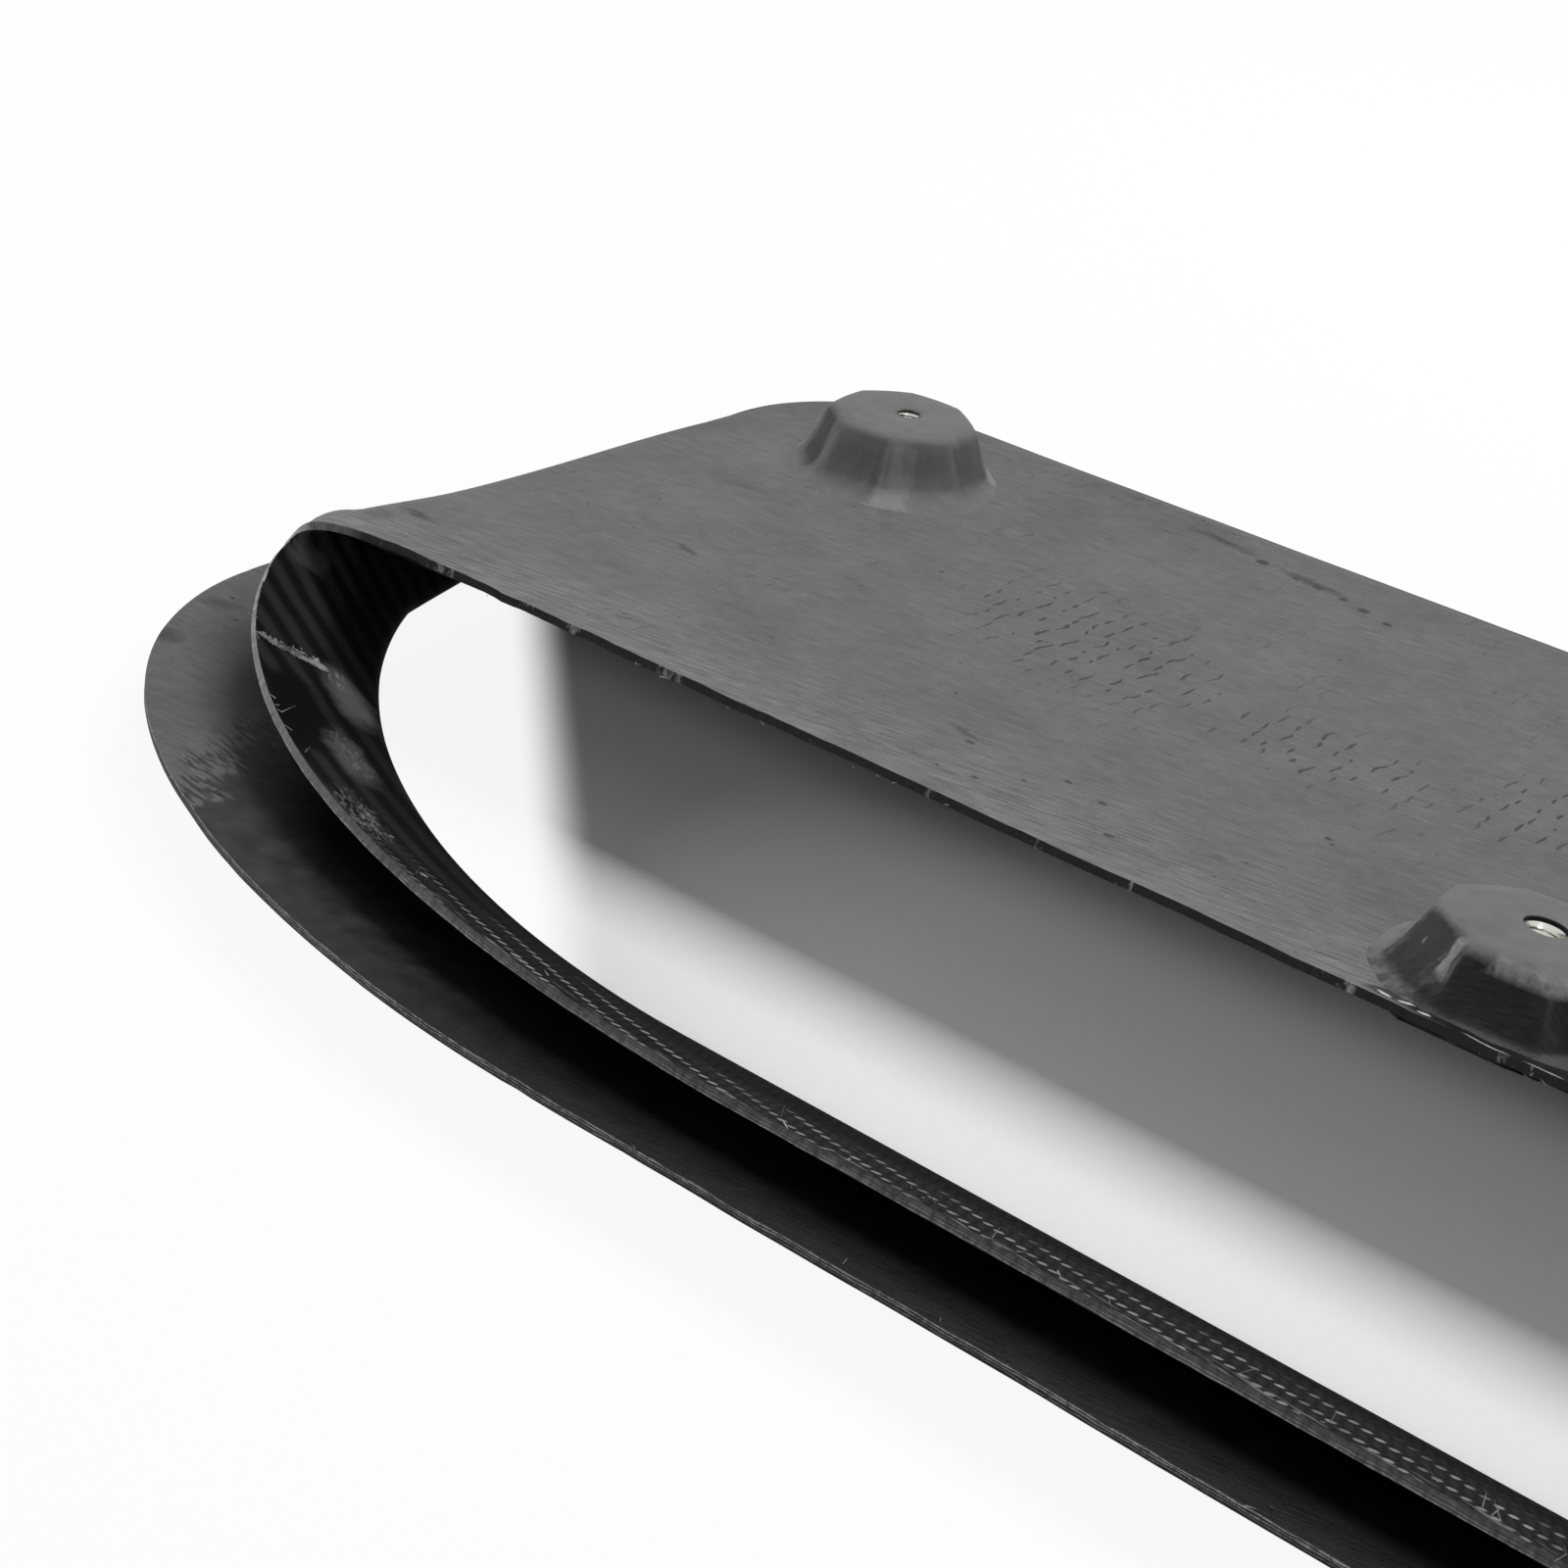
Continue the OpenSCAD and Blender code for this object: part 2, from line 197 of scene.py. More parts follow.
def rib(w):
    """The moulded face's points from the outer edge over the nose to the trimmed rim, at mark w round the left
    half."""
    p, k, q = outline(w), nose(w), rim(w)
    inward = unit(k - p)
    s = p + inward * blend(SHOULDER_IN, FRONT_SHOULDER, ease((w - 2.1) / 0.9))
    span = np.linalg.norm(k - p)
    r = NOSE_R + 1.5 * ease(w - 1) - 2.5 * ease(w - 2)
    drop = DROP * (1 - ease((w - 1.2) / 1.8))
    zc = r - drop
    fold_h, fold_z = -span * 0.65, -0.12 * drop
    slope = math.atan2(zc - fold_z, -fold_h) - math.asin(r / math.hypot(fold_h, zc - fold_z))
    rim_pt = np.array([q[0], q[1], trim_z(q[1])])
    on_side = ease((w - 1.74) / 0.24)
    corner = np.array([s[0], s[1], trim_z(s[1]) if s[1] < EDGE_Y else ramp_z(s[1])])
    aim = blend(rim_pt, corner, on_side)
    aim_h, aim_z = float(np.dot(aim[:2] - k, inward)), aim[2] - zc
    lift = math.atan2(aim_z, aim_h) - math.acos(r / math.hypot(aim_h, aim_z))
    start = slope - math.pi / 2

    def on_plane(h, z):
        return np.array([k[0] + inward[0] * h, k[1] + inward[1] * h, z])

    arc = [on_plane(r * math.cos(a), zc + r * math.sin(a)) for a in np.linspace(start, lift, NOSE_N)]
    edge, fold = np.array([p[0], p[1], 0.0]), on_plane(fold_h, fold_z)
    flange = [bend(edge, fold, arc[0], i / FLANGE_N) for i in range(FLANGE_N)]
    foot = arc[-1]
    top = blend(blend(foot, rim_pt, 0.6), corner, on_side)
    run = np.linalg.norm(rim_pt - top)
    turn = min(SHOULDER_ROUND, 0.6 * np.linalg.norm(foot - top), 0.45 * run)
    bottom = top + unit(foot - top) * turn

    def climb(f):
        g = blend(top, rim_pt, f)
        return g if w < 2 else np.array([g[0], g[1], ramp_z(g[1])])

    wall = [blend(foot, bottom, (i + 1) / (WALL_N + 1)) for i in range(WALL_N)]
    shoulder = [bend(bottom, top, climb(turn / run), i / (SHOULDER_N - 1)) for i in range(SHOULDER_N)]
    ramp = [climb(blend(turn / run, 1, (i + 1) / RAMP_N)) for i in range(RAMP_N)]
    return np.array(flange + arc + wall + shoulder + ramp), inward


def marks():
    parts = [(0, 1, 30), (1, 1.7, 56), (1.7, 2, 46), (2, 3, 44), (3, 4, 24), (4, 5, 26)]
    return [blend(a, b, i / n) for a, b, n in parts for i in range(n)] + [5.0]


def moulding_points():
    """Moulded face, bag face and layup facts for the whole ring of ribs. The first rib comes again as the last."""
    stations = marks()
    left = [rib(w) for w in stations]
    face = np.array([points for points, _ in left])
    inward = np.array([way for _, way in left])
    mirror = slice(-2, 0, -1)
    ring = np.concatenate([face, face[mirror] * [-1, 1, 1], face[:1]])
    ways = np.concatenate([inward, inward[mirror] * [-1, 1], inward[:1]])
    w = np.array(stations + stations[mirror] + stations[:1])
    round_w = np.roll(ring[:-1], -1, 0) - np.roll(ring[:-1], 1, 0)
    along = np.gradient(ring[:-1], axis=1)
    normal = np.cross(along, round_w)
    normal /= np.linalg.norm(normal, axis=2, keepdims=True)
    soft = normal.copy()
    for _ in range(18):
        soft = np.roll(soft, 1, 0) + 2 * soft + np.roll(soft, -1, 0)
        soft /= np.linalg.norm(soft, axis=2, keepdims=True)
    near = np.array([ease((v - 1.25) / 0.3) * (1 - ease((v - 2.2) / 0.4)) for v in w[:-1]])[:, None, None]
    normal = blend(normal, soft, near)
    normal /= np.linalg.norm(normal, axis=2, keepdims=True)
    normal = np.concatenate([normal, normal[:1]])
    step = np.linalg.norm(np.diff(ring, axis=1), axis=2)
    flat = np.linalg.norm(np.diff(ring[:, :, :2], axis=1), axis=2)
    from_edge = np.concatenate([np.zeros((len(ring), 1)), np.cumsum(step, axis=1)], 1)
    from_rim = from_edge[:, -1:] - from_edge
    gain = np.concatenate([np.zeros((len(ring), 1)), np.cumsum(step - flat, axis=1)], 1)
    gain = gain[:, -1:] - gain
    lay = ring[:, :, :2] - ways[:, None, :] * gain[:, :, None]
    return ring, normal, lay, from_edge, from_rim, w


# ---------------------------------------------------------------- pieces
# The moulding's surfaces, in the order of its material slots
BAG_FACE, TWILL_FACE, EDGE_FACE, BOSS_FACE, HAIR_FACE, KEYED_FACE = range(6)


def grid_of(bm, points):
    """A grid of create_grid with its vertices moved to the given rows of points, in millimetres."""
    rows, cols = points.shape[:2]
    made = bmesh.ops.create_grid(bm, x_segments=cols - 1, y_segments=rows - 1, size=1.0)
    verts = made["verts"]
    for v in verts:
        j, i = round((v.co.x + 1) / 2 * (cols - 1)), round((v.co.y + 1) / 2 * (rows - 1))
        v.co = Vector(points[i, j] * MM)
    return verts


def cut_wobble(x, y, seed, grain=9.0):
    """How far a hand-trimmed edge strays, in millimetres: slow waves and a few short nicks."""
    slow = noise.noise(Vector((x / 45, y / 45, seed)))
    fast = noise.noise(Vector((x / grain, y / grain, seed + 7.7)))
    nick = max(0.0, noise.noise(Vector((x / 3.1, y / 3.1, seed + 3.3))) - 0.42)
    return 0.32 * slow + 0.2 * fast + 1.1 * nick


def build_moulding():
    ring, normal, lay, from_edge, from_rim, w = moulding_points()
    rows, cols = ring.shape[:2]
    trimmed = ring.copy()
    for i in range(rows):
        x, y = ring[i, -1, 0], ring[i, -1, 1]
        k = i % (rows - 1)
        back = unit(ring[k, -2] - ring[k, -1])
        trimmed[i, -1] += back * max(0.0, cut_wobble(x, y, 2.0))
        x, y = ring[i, 0, 0], ring[i, 0, 1]
        back = unit(ring[k, 1] - ring[k, 0])
        trimmed[i, 0] += back * max(0.0, cut_wobble(x, y, 5.0, 14.0) + 0.15)
    # the underside of the ramp's free edge was ground back, so that the cut looks less than 1 mm thick
    for i in range(rows):
        if w[i] > 1.9:
            share = ease((w[i] - 1.9) / 0.3)
            x = ring[i, -1, 0]
            ground = (GROUND_OFF + 0.3 * noise.noise(Vector((x / 9, 0.5, 8.8)))
                      + 0.25 * noise.noise(Vector((x / 2.5, 0.5, 4.4))))
            trimmed[i, -1, 2] += share * ground
            trimmed[i, -1, 1] += share * 0.15
    rise = np.array([0, 0, DROP])
    bm = bmesh.new()
    lay_layer = bm.verts.layers.float_vector.new("lay")
    span_layer = bm.verts.layers.float_vector.new("span")
    bm.verts.layers.float_vector.new("round")
    for face, ply in ((trimmed + rise, 0.0), (trimmed + rise + normal * SKIN, 1.0)):
        verts = grid_of(bm, face)
        for n, v in enumerate(verts):
            i, j = divmod(n, cols)
            v[lay_layer] = Vector((lay[i, j, 0], lay[i, j, 1], ply))
            v[span_layer] = Vector((from_edge[i, j], from_rim[i, j], w[i]))
    bm.verts.ensure_lookup_table()
    bm.verts.index_update()
    moulded = [f for f in bm.faces if f.verts[0].index < rows * cols]
    # inboard of the nose's crest the moulded face was keyed with abrasive, so it is dull there
    crest = FLANGE_N + NOSE_N // 2
    for f in moulded:
        f.material_index = KEYED_FACE if min(v.index % cols for v in f.verts) >= crest else TWILL_FACE
    bmesh.ops.remove_doubles(bm, verts=bm.verts, dist=1e-7)
    bm.edges.index_update()
    open_edges = [e for e in bm.edges if e.is_boundary]
    outer = [e for e in open_edges if max(v[span_layer].x for v in e.verts) < 1e-3]
    inner = [e for e in open_edges if max(v[span_layer].y for v in e.verts) < 1e-3]
    for loop in (outer, inner):
        made = bmesh.ops.bridge_loops(bm, edges=loop)
        for f in made["faces"]:
            f.material_index = EDGE_FACE
    bmesh.ops.recalc_face_normals(bm, faces=bm.faces)
    return bm


def boss_profile(h):
    """Levels of a boss from its foot up: height, radius and share of the flats, run through smoothly."""
    foot, top = BOSS_FOOT / 2, BOSS_TOP / 2
    marks_z = [-1.3, 0.2, h * 0.12, h * 0.4, h - 3, h - 0.8, h]
    marks_r = [foot, foot - 0.8, blend(foot, top, 0.35), blend(foot, top, 0.6), blend(foot, top, 0.86), top + 0.2,
               top - 1.6]
    share = [0.3, 0.4, 0.8, 1.0, 1.0, 0.8, 0.6]
    at = np.concatenate([[0], np.cumsum(np.hypot(np.diff(marks_z), np.diff(marks_r)))])
    fine = np.linspace(0, at[-1], 34)
    shape = np.stack([np.interp(fine, at, m) for m in (marks_z, marks_r, share)], 1)
    for _ in range(2):
        shape[1:-1] = (shape[:-2] + 2 * shape[1:-1] + shape[2:]) / 4
    return shape


def flat_r(r, share, deg):
    return blend(r, r * math.cos(math.radians(22.5)) / math.cos(math.radians(deg % 45 - 22.5)), BOSS_FLAT * share)


def on_ramp(place):
    x, y, _ = place
    back = 1 - (y - EDGE_Y) / (HALF_D - EDGE_Y)
    lean = math.atan(2 * (RAMP_RISE - RAMP_END) * back / (HALF_D - EDGE_Y))
    return (Matrix.Translation(Vector((x, y, DROP + ramp_z(y))) * MM) @ Matrix.Rotation(-lean, 4, "X")
            @ Matrix.Translation((0, 0, SKIN * MM)))


def add_boss(bm, place, seed):
    """A boss with its ply skirt. Every boss is laid over by hand, so its skirt is widest on the lip's side."""
    h = place[2]
    shape = boss_profile(h)
    turns = 96
    middle = place[0] == 0
    hole_r = COVER_HOLE / 2 if middle else COVER_HOLE / 2 - 1.4
    skirt, way = (2.5, -90.0) if middle else (8.5, -62.0)
    rows = []
    for z, r, share in shape:
        row = []
        for i in range(turns + 1):
            deg = 360 * (i % turns) / turns
            a = math.radians(deg + BOSS_TURN)
            radius = flat_r(r, share, deg)
            lump = noise.noise(Vector((math.cos(a) * 1.7, math.sin(a) * 1.7, seed + z * 0.12)))
            radius += 0.5 * lump * clamp(z / 3) * clamp((h - z) / 3)
            near = clamp(math.cos(a - math.radians(way)) * 1.3 - 0.1)
            low = clamp(1 - (z + 1.3) / (0.22 * h + 1.3))
            stray = 1.5 * noise.noise(Vector((math.cos(a) * 3, math.sin(a) * 3, seed)))
            radius += (skirt + stray) * near * low ** 1.5
            if z < 0.9:
                radius += 0.45 * noise.noise(Vector((math.cos(a) * 5, math.sin(a) * 5, seed))) * (1 - z / 0.9)
            y = radius * math.sin(a)
            if middle:
                y = max(y, -30.4)
            row.append([radius * math.cos(a), y, z])
        rows.append(row)
    edge = np.array(rows[-1])
    # the flat top runs in to the small hole over the insert, then down through the covering ply
    for f in (0.25, 0.5, 0.75, 0.92, 1.0):
        ring = []
        for i in range(turns + 1):
            a = math.radians(360 * (i % turns) / turns + BOSS_TURN)
            mouth = np.array([hole_r * math.cos(a), INSERT_SHIFT + hole_r * math.sin(a), h])
            p = blend(edge[i], mouth, f)
            dip = 0.18 if middle else 0.6
            p[2] = h - dip * max(0.0, (f - 0.7) / 0.3) ** 2 + 0.02 * math.sin(f * 3.1)
            ring.append(p.tolist())
        rows.append(ring)
    for dz in (0.5, COVER):
        rows.append([[p[0], p[1], h - max(dz, h - p[2])] for p in rows[-1]])
    made = set(bm.verts)
    verts = grid_of(bm, np.array(rows))
    bmesh.ops.transform(bm, matrix=on_ramp(place), verts=verts)
    lay_layer, span_layer = bm.verts.layers.float_vector["lay"], bm.verts.layers.float_vector["span"]
    round_layer = bm.verts.layers.float_vector["round"]
    for n, v in enumerate(verts):
        level, i = divmod(n, turns + 1)
        a = math.radians(360 * (i % turns) / turns + BOSS_TURN)
        height = rows[level][0][2] if level < len(shape) else h
        v.co.z = min(v.co.z, cad_box[1][2])
        v[lay_layer] = Vector((v.co.x / MM, v.co.y / MM, 1.0))
        v[span_layer] = Vector((height / h, float(level >= len(shape) + 5), seed))
        v[round_layer] = Vector((math.cos(a), math.sin(a), 0.0))
    fresh = [f for f in bm.faces if not any(v in made for v in f.verts)]
    for f in fresh:
        f.material_index = BOSS_FACE
    bmesh.ops.remove_doubles(bm, verts=verts, dist=1e-7)
    bmesh.ops.recalc_face_normals(bm, faces=[f for f in fresh if f.is_valid])


def add_hair(bm, at, way, length, thick, seed):
    """A loose fibre or burr left by the trimming: a thin bent sliver."""
    made = bmesh.ops.create_cone(bm, cap_ends=True, segments=4, radius1=thick * MM, radius2=0.25 * thick * MM,
                                 depth=length * MM)
    verts = made["verts"]
    side = Vector((noise.noise(Vector((seed, 0.3, 0.7))), noise.noise(Vector((0.2, seed, 0.9))), 0.1))
    for v in verts:
        t = v.co.z / (length * MM) + 0.5
        v.co += side * (t * t * length * 0.4 * MM)
    turn = way.to_track_quat("Z", "Y").to_matrix().to_4x4()
    bmesh.ops.transform(bm, matrix=Matrix.Translation(at) @ turn @ Matrix.Translation((0, 0, length * MM / 2)),
                        verts=verts)
    lay_layer = bm.verts.layers.float_vector["lay"]
    for v in verts:
        v.co = Vector([min(max(c, low), high) for c, low, high in zip(v.co, *cad_box)])
        v[lay_layer] = Vector((v.co.x / MM, v.co.y / MM, 0.5))
        for f in v.link_faces:
            f.material_index = HAIR_FACE


def add_burrs(bm):
    rng = random.Random(11)
    stations = [(0.0, 1.0, 26, 0), (1.0, 1.8, 34, 0), (2.0, 5.0, 36, 0), (0.0, 1.6, 22, 1), (1.6, 2.8, 8, 1)]
    for low, high, count, outer in stations:
        for n in range(count):
            w = rng.uniform(low, high)
            points, _ = rib(w)
            at, inner = (points[0], points[2]) if outer else (points[-1], points[-3])
            stray = Vector((rng.uniform(-1, 1), rng.uniform(-1, 1), rng.uniform(0, 0.7)))
            way = Vector(unit(at - inner)) * 0.5 + stray
            length, thick = rng.uniform(0.8, 3.2), rng.uniform(0.07, 0.16)
            lift = SKIN * rng.uniform(0.3, 0.9)
            place = at + unit(inner - at) * 0.7 + np.array([0, 0, DROP + lift])
            if outer:
                way.z = abs(way.z)
                way.xy = -way.xy
            if rng.random() < 0.5:
                place[0] *= -1
                way.x *= -1
            add_hair(bm, Vector(place * MM), way.normalized(), length, thick, rng.uniform(0, 50))


def add_frayed_ridge(bm):
    """The frayed fibre ridge inside the left end, across the moulded face from the rim inwards."""
    rng = random.Random(5)
    line = [np.array(p) for p in ((-271.0, -99.3, 28.5), (-268.3, -98.0, 26.6), (-265.2, -94.1, 23.7),
                                  (-261.6, -88.4, 19.3))]
    for n in range(150):
        t = rng.uniform(0, 3.0) ** 0.9
        i = min(int(t), 2)
        spread = 0.3 + 0.4 * t
        at = blend(line[i], line[i + 1], t - i) + np.array([0.25, 0.1, 0.2]) + \
            np.array([rng.uniform(-spread, spread), rng.uniform(-spread, spread), rng.uniform(-spread, spread)])
        way = Vector(unit(line[i + 1] - line[i])) + Vector((rng.uniform(-0.25, 0.25), rng.uniform(-0.4, 0.1),
                                                            rng.uniform(-0.6, 0.0)))
        add_hair(bm, Vector(at * MM), way.normalized(), rng.uniform(0.6, 1.6), rng.uniform(0.12, 0.28),
                 rng.uniform(0, 50))


def build_insert(bm, place):
    """One threaded bush: outer wall, turned face with its countersink, and the M8 thread down the bore."""
    h = place[2]
    turns, pitch, core, crest = 64, 1.25, 3.4, 3.85
    sink = 4.2
    outer = INSERT_D / 2
    levels = [(0.0, core + 0.3), (0.0, outer - 0.4), (0.4, outer), (INSERT_LEN - 0.3, outer),
              (INSERT_LEN, outer - 0.3), (INSERT_LEN, outer - 1.6), (INSERT_LEN - 0.03, outer - 1.7),
              (INSERT_LEN, outer - 1.8), (INSERT_LEN, sink)]
    rows = []
    for z, r in levels:
        rows.append([[r * math.cos(math.tau * i / turns), r * math.sin(math.tau * i / turns), z]
                     for i in range(turns + 1)])
    deep = np.linspace(INSERT_LEN - 0.75, 0, 96)
    for n, z in enumerate(deep):
        row = []
        for i in range(turns + 1):
            turn = (i % turns) / turns
            tooth = abs(((z / pitch - turn) % 1.0) - 0.5) * 2
            depth = clamp(1.6 * tooth - 0.3)
            taper = clamp(n / 6)
            r = blend(sink - 0.45, blend(core, crest, depth), taper)
            r = min(r, 4.2)
            a = math.tau * turn
            row.append([r * math.cos(a), r * math.sin(a), z])
        rows.append(row)
    rows.append(rows[0])
    verts = grid_of(bm, np.array(rows))
    place_it = on_ramp(place) @ Matrix.Translation(Vector((0, INSERT_SHIFT, h - COVER - INSERT_LEN)) * MM)
    bmesh.ops.transform(bm, matrix=place_it, verts=verts)
    bmesh.ops.remove_doubles(bm, verts=verts, dist=1e-7)


def finish_piece(bm, name, materials, smooth_deg=40):
    mesh = bpy.data.meshes.new(name)
    bm.to_mesh(mesh)
    bm.free()
    piece = bpy.data.objects.new(name, mesh)
    bpy.context.scene.collection.objects.link(piece)
    for material in materials:
        mesh.materials.append(material)
    mesh.shade_smooth()
    mesh.set_sharp_from_angle(angle=math.radians(smooth_deg))
    return piece


# ---------------------------------------------------------------- materials
def tone(code):
    """sRGB hex to the linear colour that a shader takes."""
    parts = [int(code[i:i + 2], 16) / 255 for i in (1, 3, 5)]
    return [c / 12.92 if c <= 0.04045 else ((c + 0.055) / 1.055) ** 2.4 for c in parts] + [1.0]


def put(tree, kind, ins=(), out=0, **settings):
    """Adds one node, fills its inputs with values or links, and gives back one of its outputs."""
    node = tree.nodes.new("ShaderNode" + kind)
    for key, value in settings.items():
        setattr(node, key, value)
    pairs = ins.items() if isinstance(ins, dict) else enumerate(ins)
    for key, value in pairs:
        if value is None:
            continue
        if isinstance(value, bpy.types.NodeSocket):
            tree.links.new(value, node.inputs[key])
        else:
            node.inputs[key].default_value = value
    return node.outputs[out]


def surface(name):
    material = bpy.data.materials.new(name)
    material.use_nodes = True
    tree = material.node_tree
    shader = tree.nodes["Principled BSDF"]
    return material, tree, shader


def layup(tree):
    """The cloth's own coordinates: u across the scoop, v along the rib, both in millimetres; ply runs 0 to 1."""
    lay = put(tree, "Attribute", out="Vector", attribute_name="lay")
    parts = tree.nodes.new("ShaderNodeSeparateXYZ")
    tree.links.new(lay, parts.inputs[0])
    return lay, parts.outputs[0], parts.outputs[1], parts.outputs[2]


def span_of(tree):
    """On the moulding: millimetres from the outer edge, millimetres from the trimmed rim, and the mark round the
    outline. On a boss: share of its height, 1 in the hole over the insert, and the boss's own number."""
    parts = tree.nodes.new("ShaderNodeSeparateXYZ")
    tree.links.new(put(tree, "Attribute", out="Vector", attribute_name="span"), parts.inputs[0])
    return parts.outputs


def spot(tree, lay, centre, size, soft=0.6, turn=0.0):
    """A soft-edged oval patch on the cloth, 1 inside and 0 outside. Its place and half-size are in millimetres."""
    local = put(tree, "Mapping", {"Vector": lay, "Location": (*centre, 0.0), "Rotation": (0, 0, math.radians(turn)),
                                  "Scale": (*size, 1000.0)}, vector_type="TEXTURE")
    far = put(tree, "VectorMath", [local], out="Value", operation="LENGTH")
    return put(tree, "MapRange", [far, 1.0, 1.0 - soft, 0.0, 1.0], interpolation_type="SMOOTHSTEP")


def ragged(tree, lay, scale, amount):
    """The cloth's coordinates moved about by up to this many millimetres, which roughens the outline of a patch."""
    rough = put(tree, "TexNoise", {"Vector": lay, "Scale": scale, "Detail": 4.0}, out="Color")
    centred = put(tree, "VectorMath", [rough, (0.5, 0.5, 0.5)], operation="SUBTRACT")
    stray = put(tree, "VectorMath", {0: centred, "Scale": amount * 2}, operation="SCALE")
    return put(tree, "VectorMath", [lay, stray], operation="ADD")


def spots(tree, lay, places, soft):
    """The strongest of several patches, each given as centre, half-size, turn in degrees and strength."""
    most = None
    for centre, size, turn, strength in places:
        one = put(tree, "Math", [spot(tree, lay, centre, size, soft, turn), strength], operation="MULTIPLY")
        most = one if most is None else put(tree, "Math", [most, one], operation="MAXIMUM")
    return most


def twill(tree, u, v, tow=2.0):
    """2x2 twill of flat tows: gives height, a 0/1 choice of warp over weft, the middle of each weft float, and the
    diagonal rib as a wave from 0 to 1."""
    pu = put(tree, "Math", [u, tow], operation="DIVIDE")
    pv = put(tree, "Math", [v, tow], operation="DIVIDE")
    iu = put(tree, "Math", [pu], operation="FLOOR")
    iv = put(tree, "Math", [pv], operation="FLOOR")
    turn = put(tree, "Math", [put(tree, "Math", [iu, iv], operation="ADD"), 4.0], operation="FLOORED_MODULO")
    over = put(tree, "Math", [turn, 1.5], operation="LESS_THAN")
    heights, middles = [], []
    for cross, along, index, middle in ((pu, pv, iu, 1.0), (pv, pu, iv, 3.0)):
        part = put(tree, "Math", [cross], operation="FRACT")
        round_part = put(tree, "Math", [part, 0.5], operation="SUBTRACT")
        arch = put(tree, "Math", [round_part, round_part], operation="MULTIPLY")
        run = put(tree, "Math", [put(tree, "Math", [along, index], operation="ADD"), 4.0], operation="FLOORED_MODULO")
        off = put(tree, "Math", [run, middle], operation="SUBTRACT")
        crown = put(tree, "Math", [off, off], operation="MULTIPLY")
        low = put(tree, "Math", [put(tree, "Math", [arch, 2.6], operation="MULTIPLY"),
                                 put(tree, "Math", [crown, 0.5], operation="MULTIPLY")], operation="ADD")
        heights.append(put(tree, "Math", [1.0, low], operation="SUBTRACT"))
        oval = put(tree, "Math", [put(tree, "Math", [arch, 7.0], operation="MULTIPLY"),
                                  put(tree, "Math", [crown, 3.0], operation="MULTIPLY")], operation="ADD")
        middles.append(put(tree, "Math", [1.0, oval], operation="SUBTRACT", use_clamp=True))
    height = put(tree, "Mix", {"Factor": over, 2: heights[1], 3: heights[0]})
    weft = put(tree, "Math", [middles[1], put(tree, "Math", [1.0, over], operation="SUBTRACT")], operation="MULTIPLY")
    rib_wave = put(tree, "Math", [put(tree, "Math", [pu, pv], operation="ADD"), 2.0], operation="PINGPONG")
    return height, over, weft, put(tree, "Math", [rib_wave, 2.0], operation="DIVIDE")


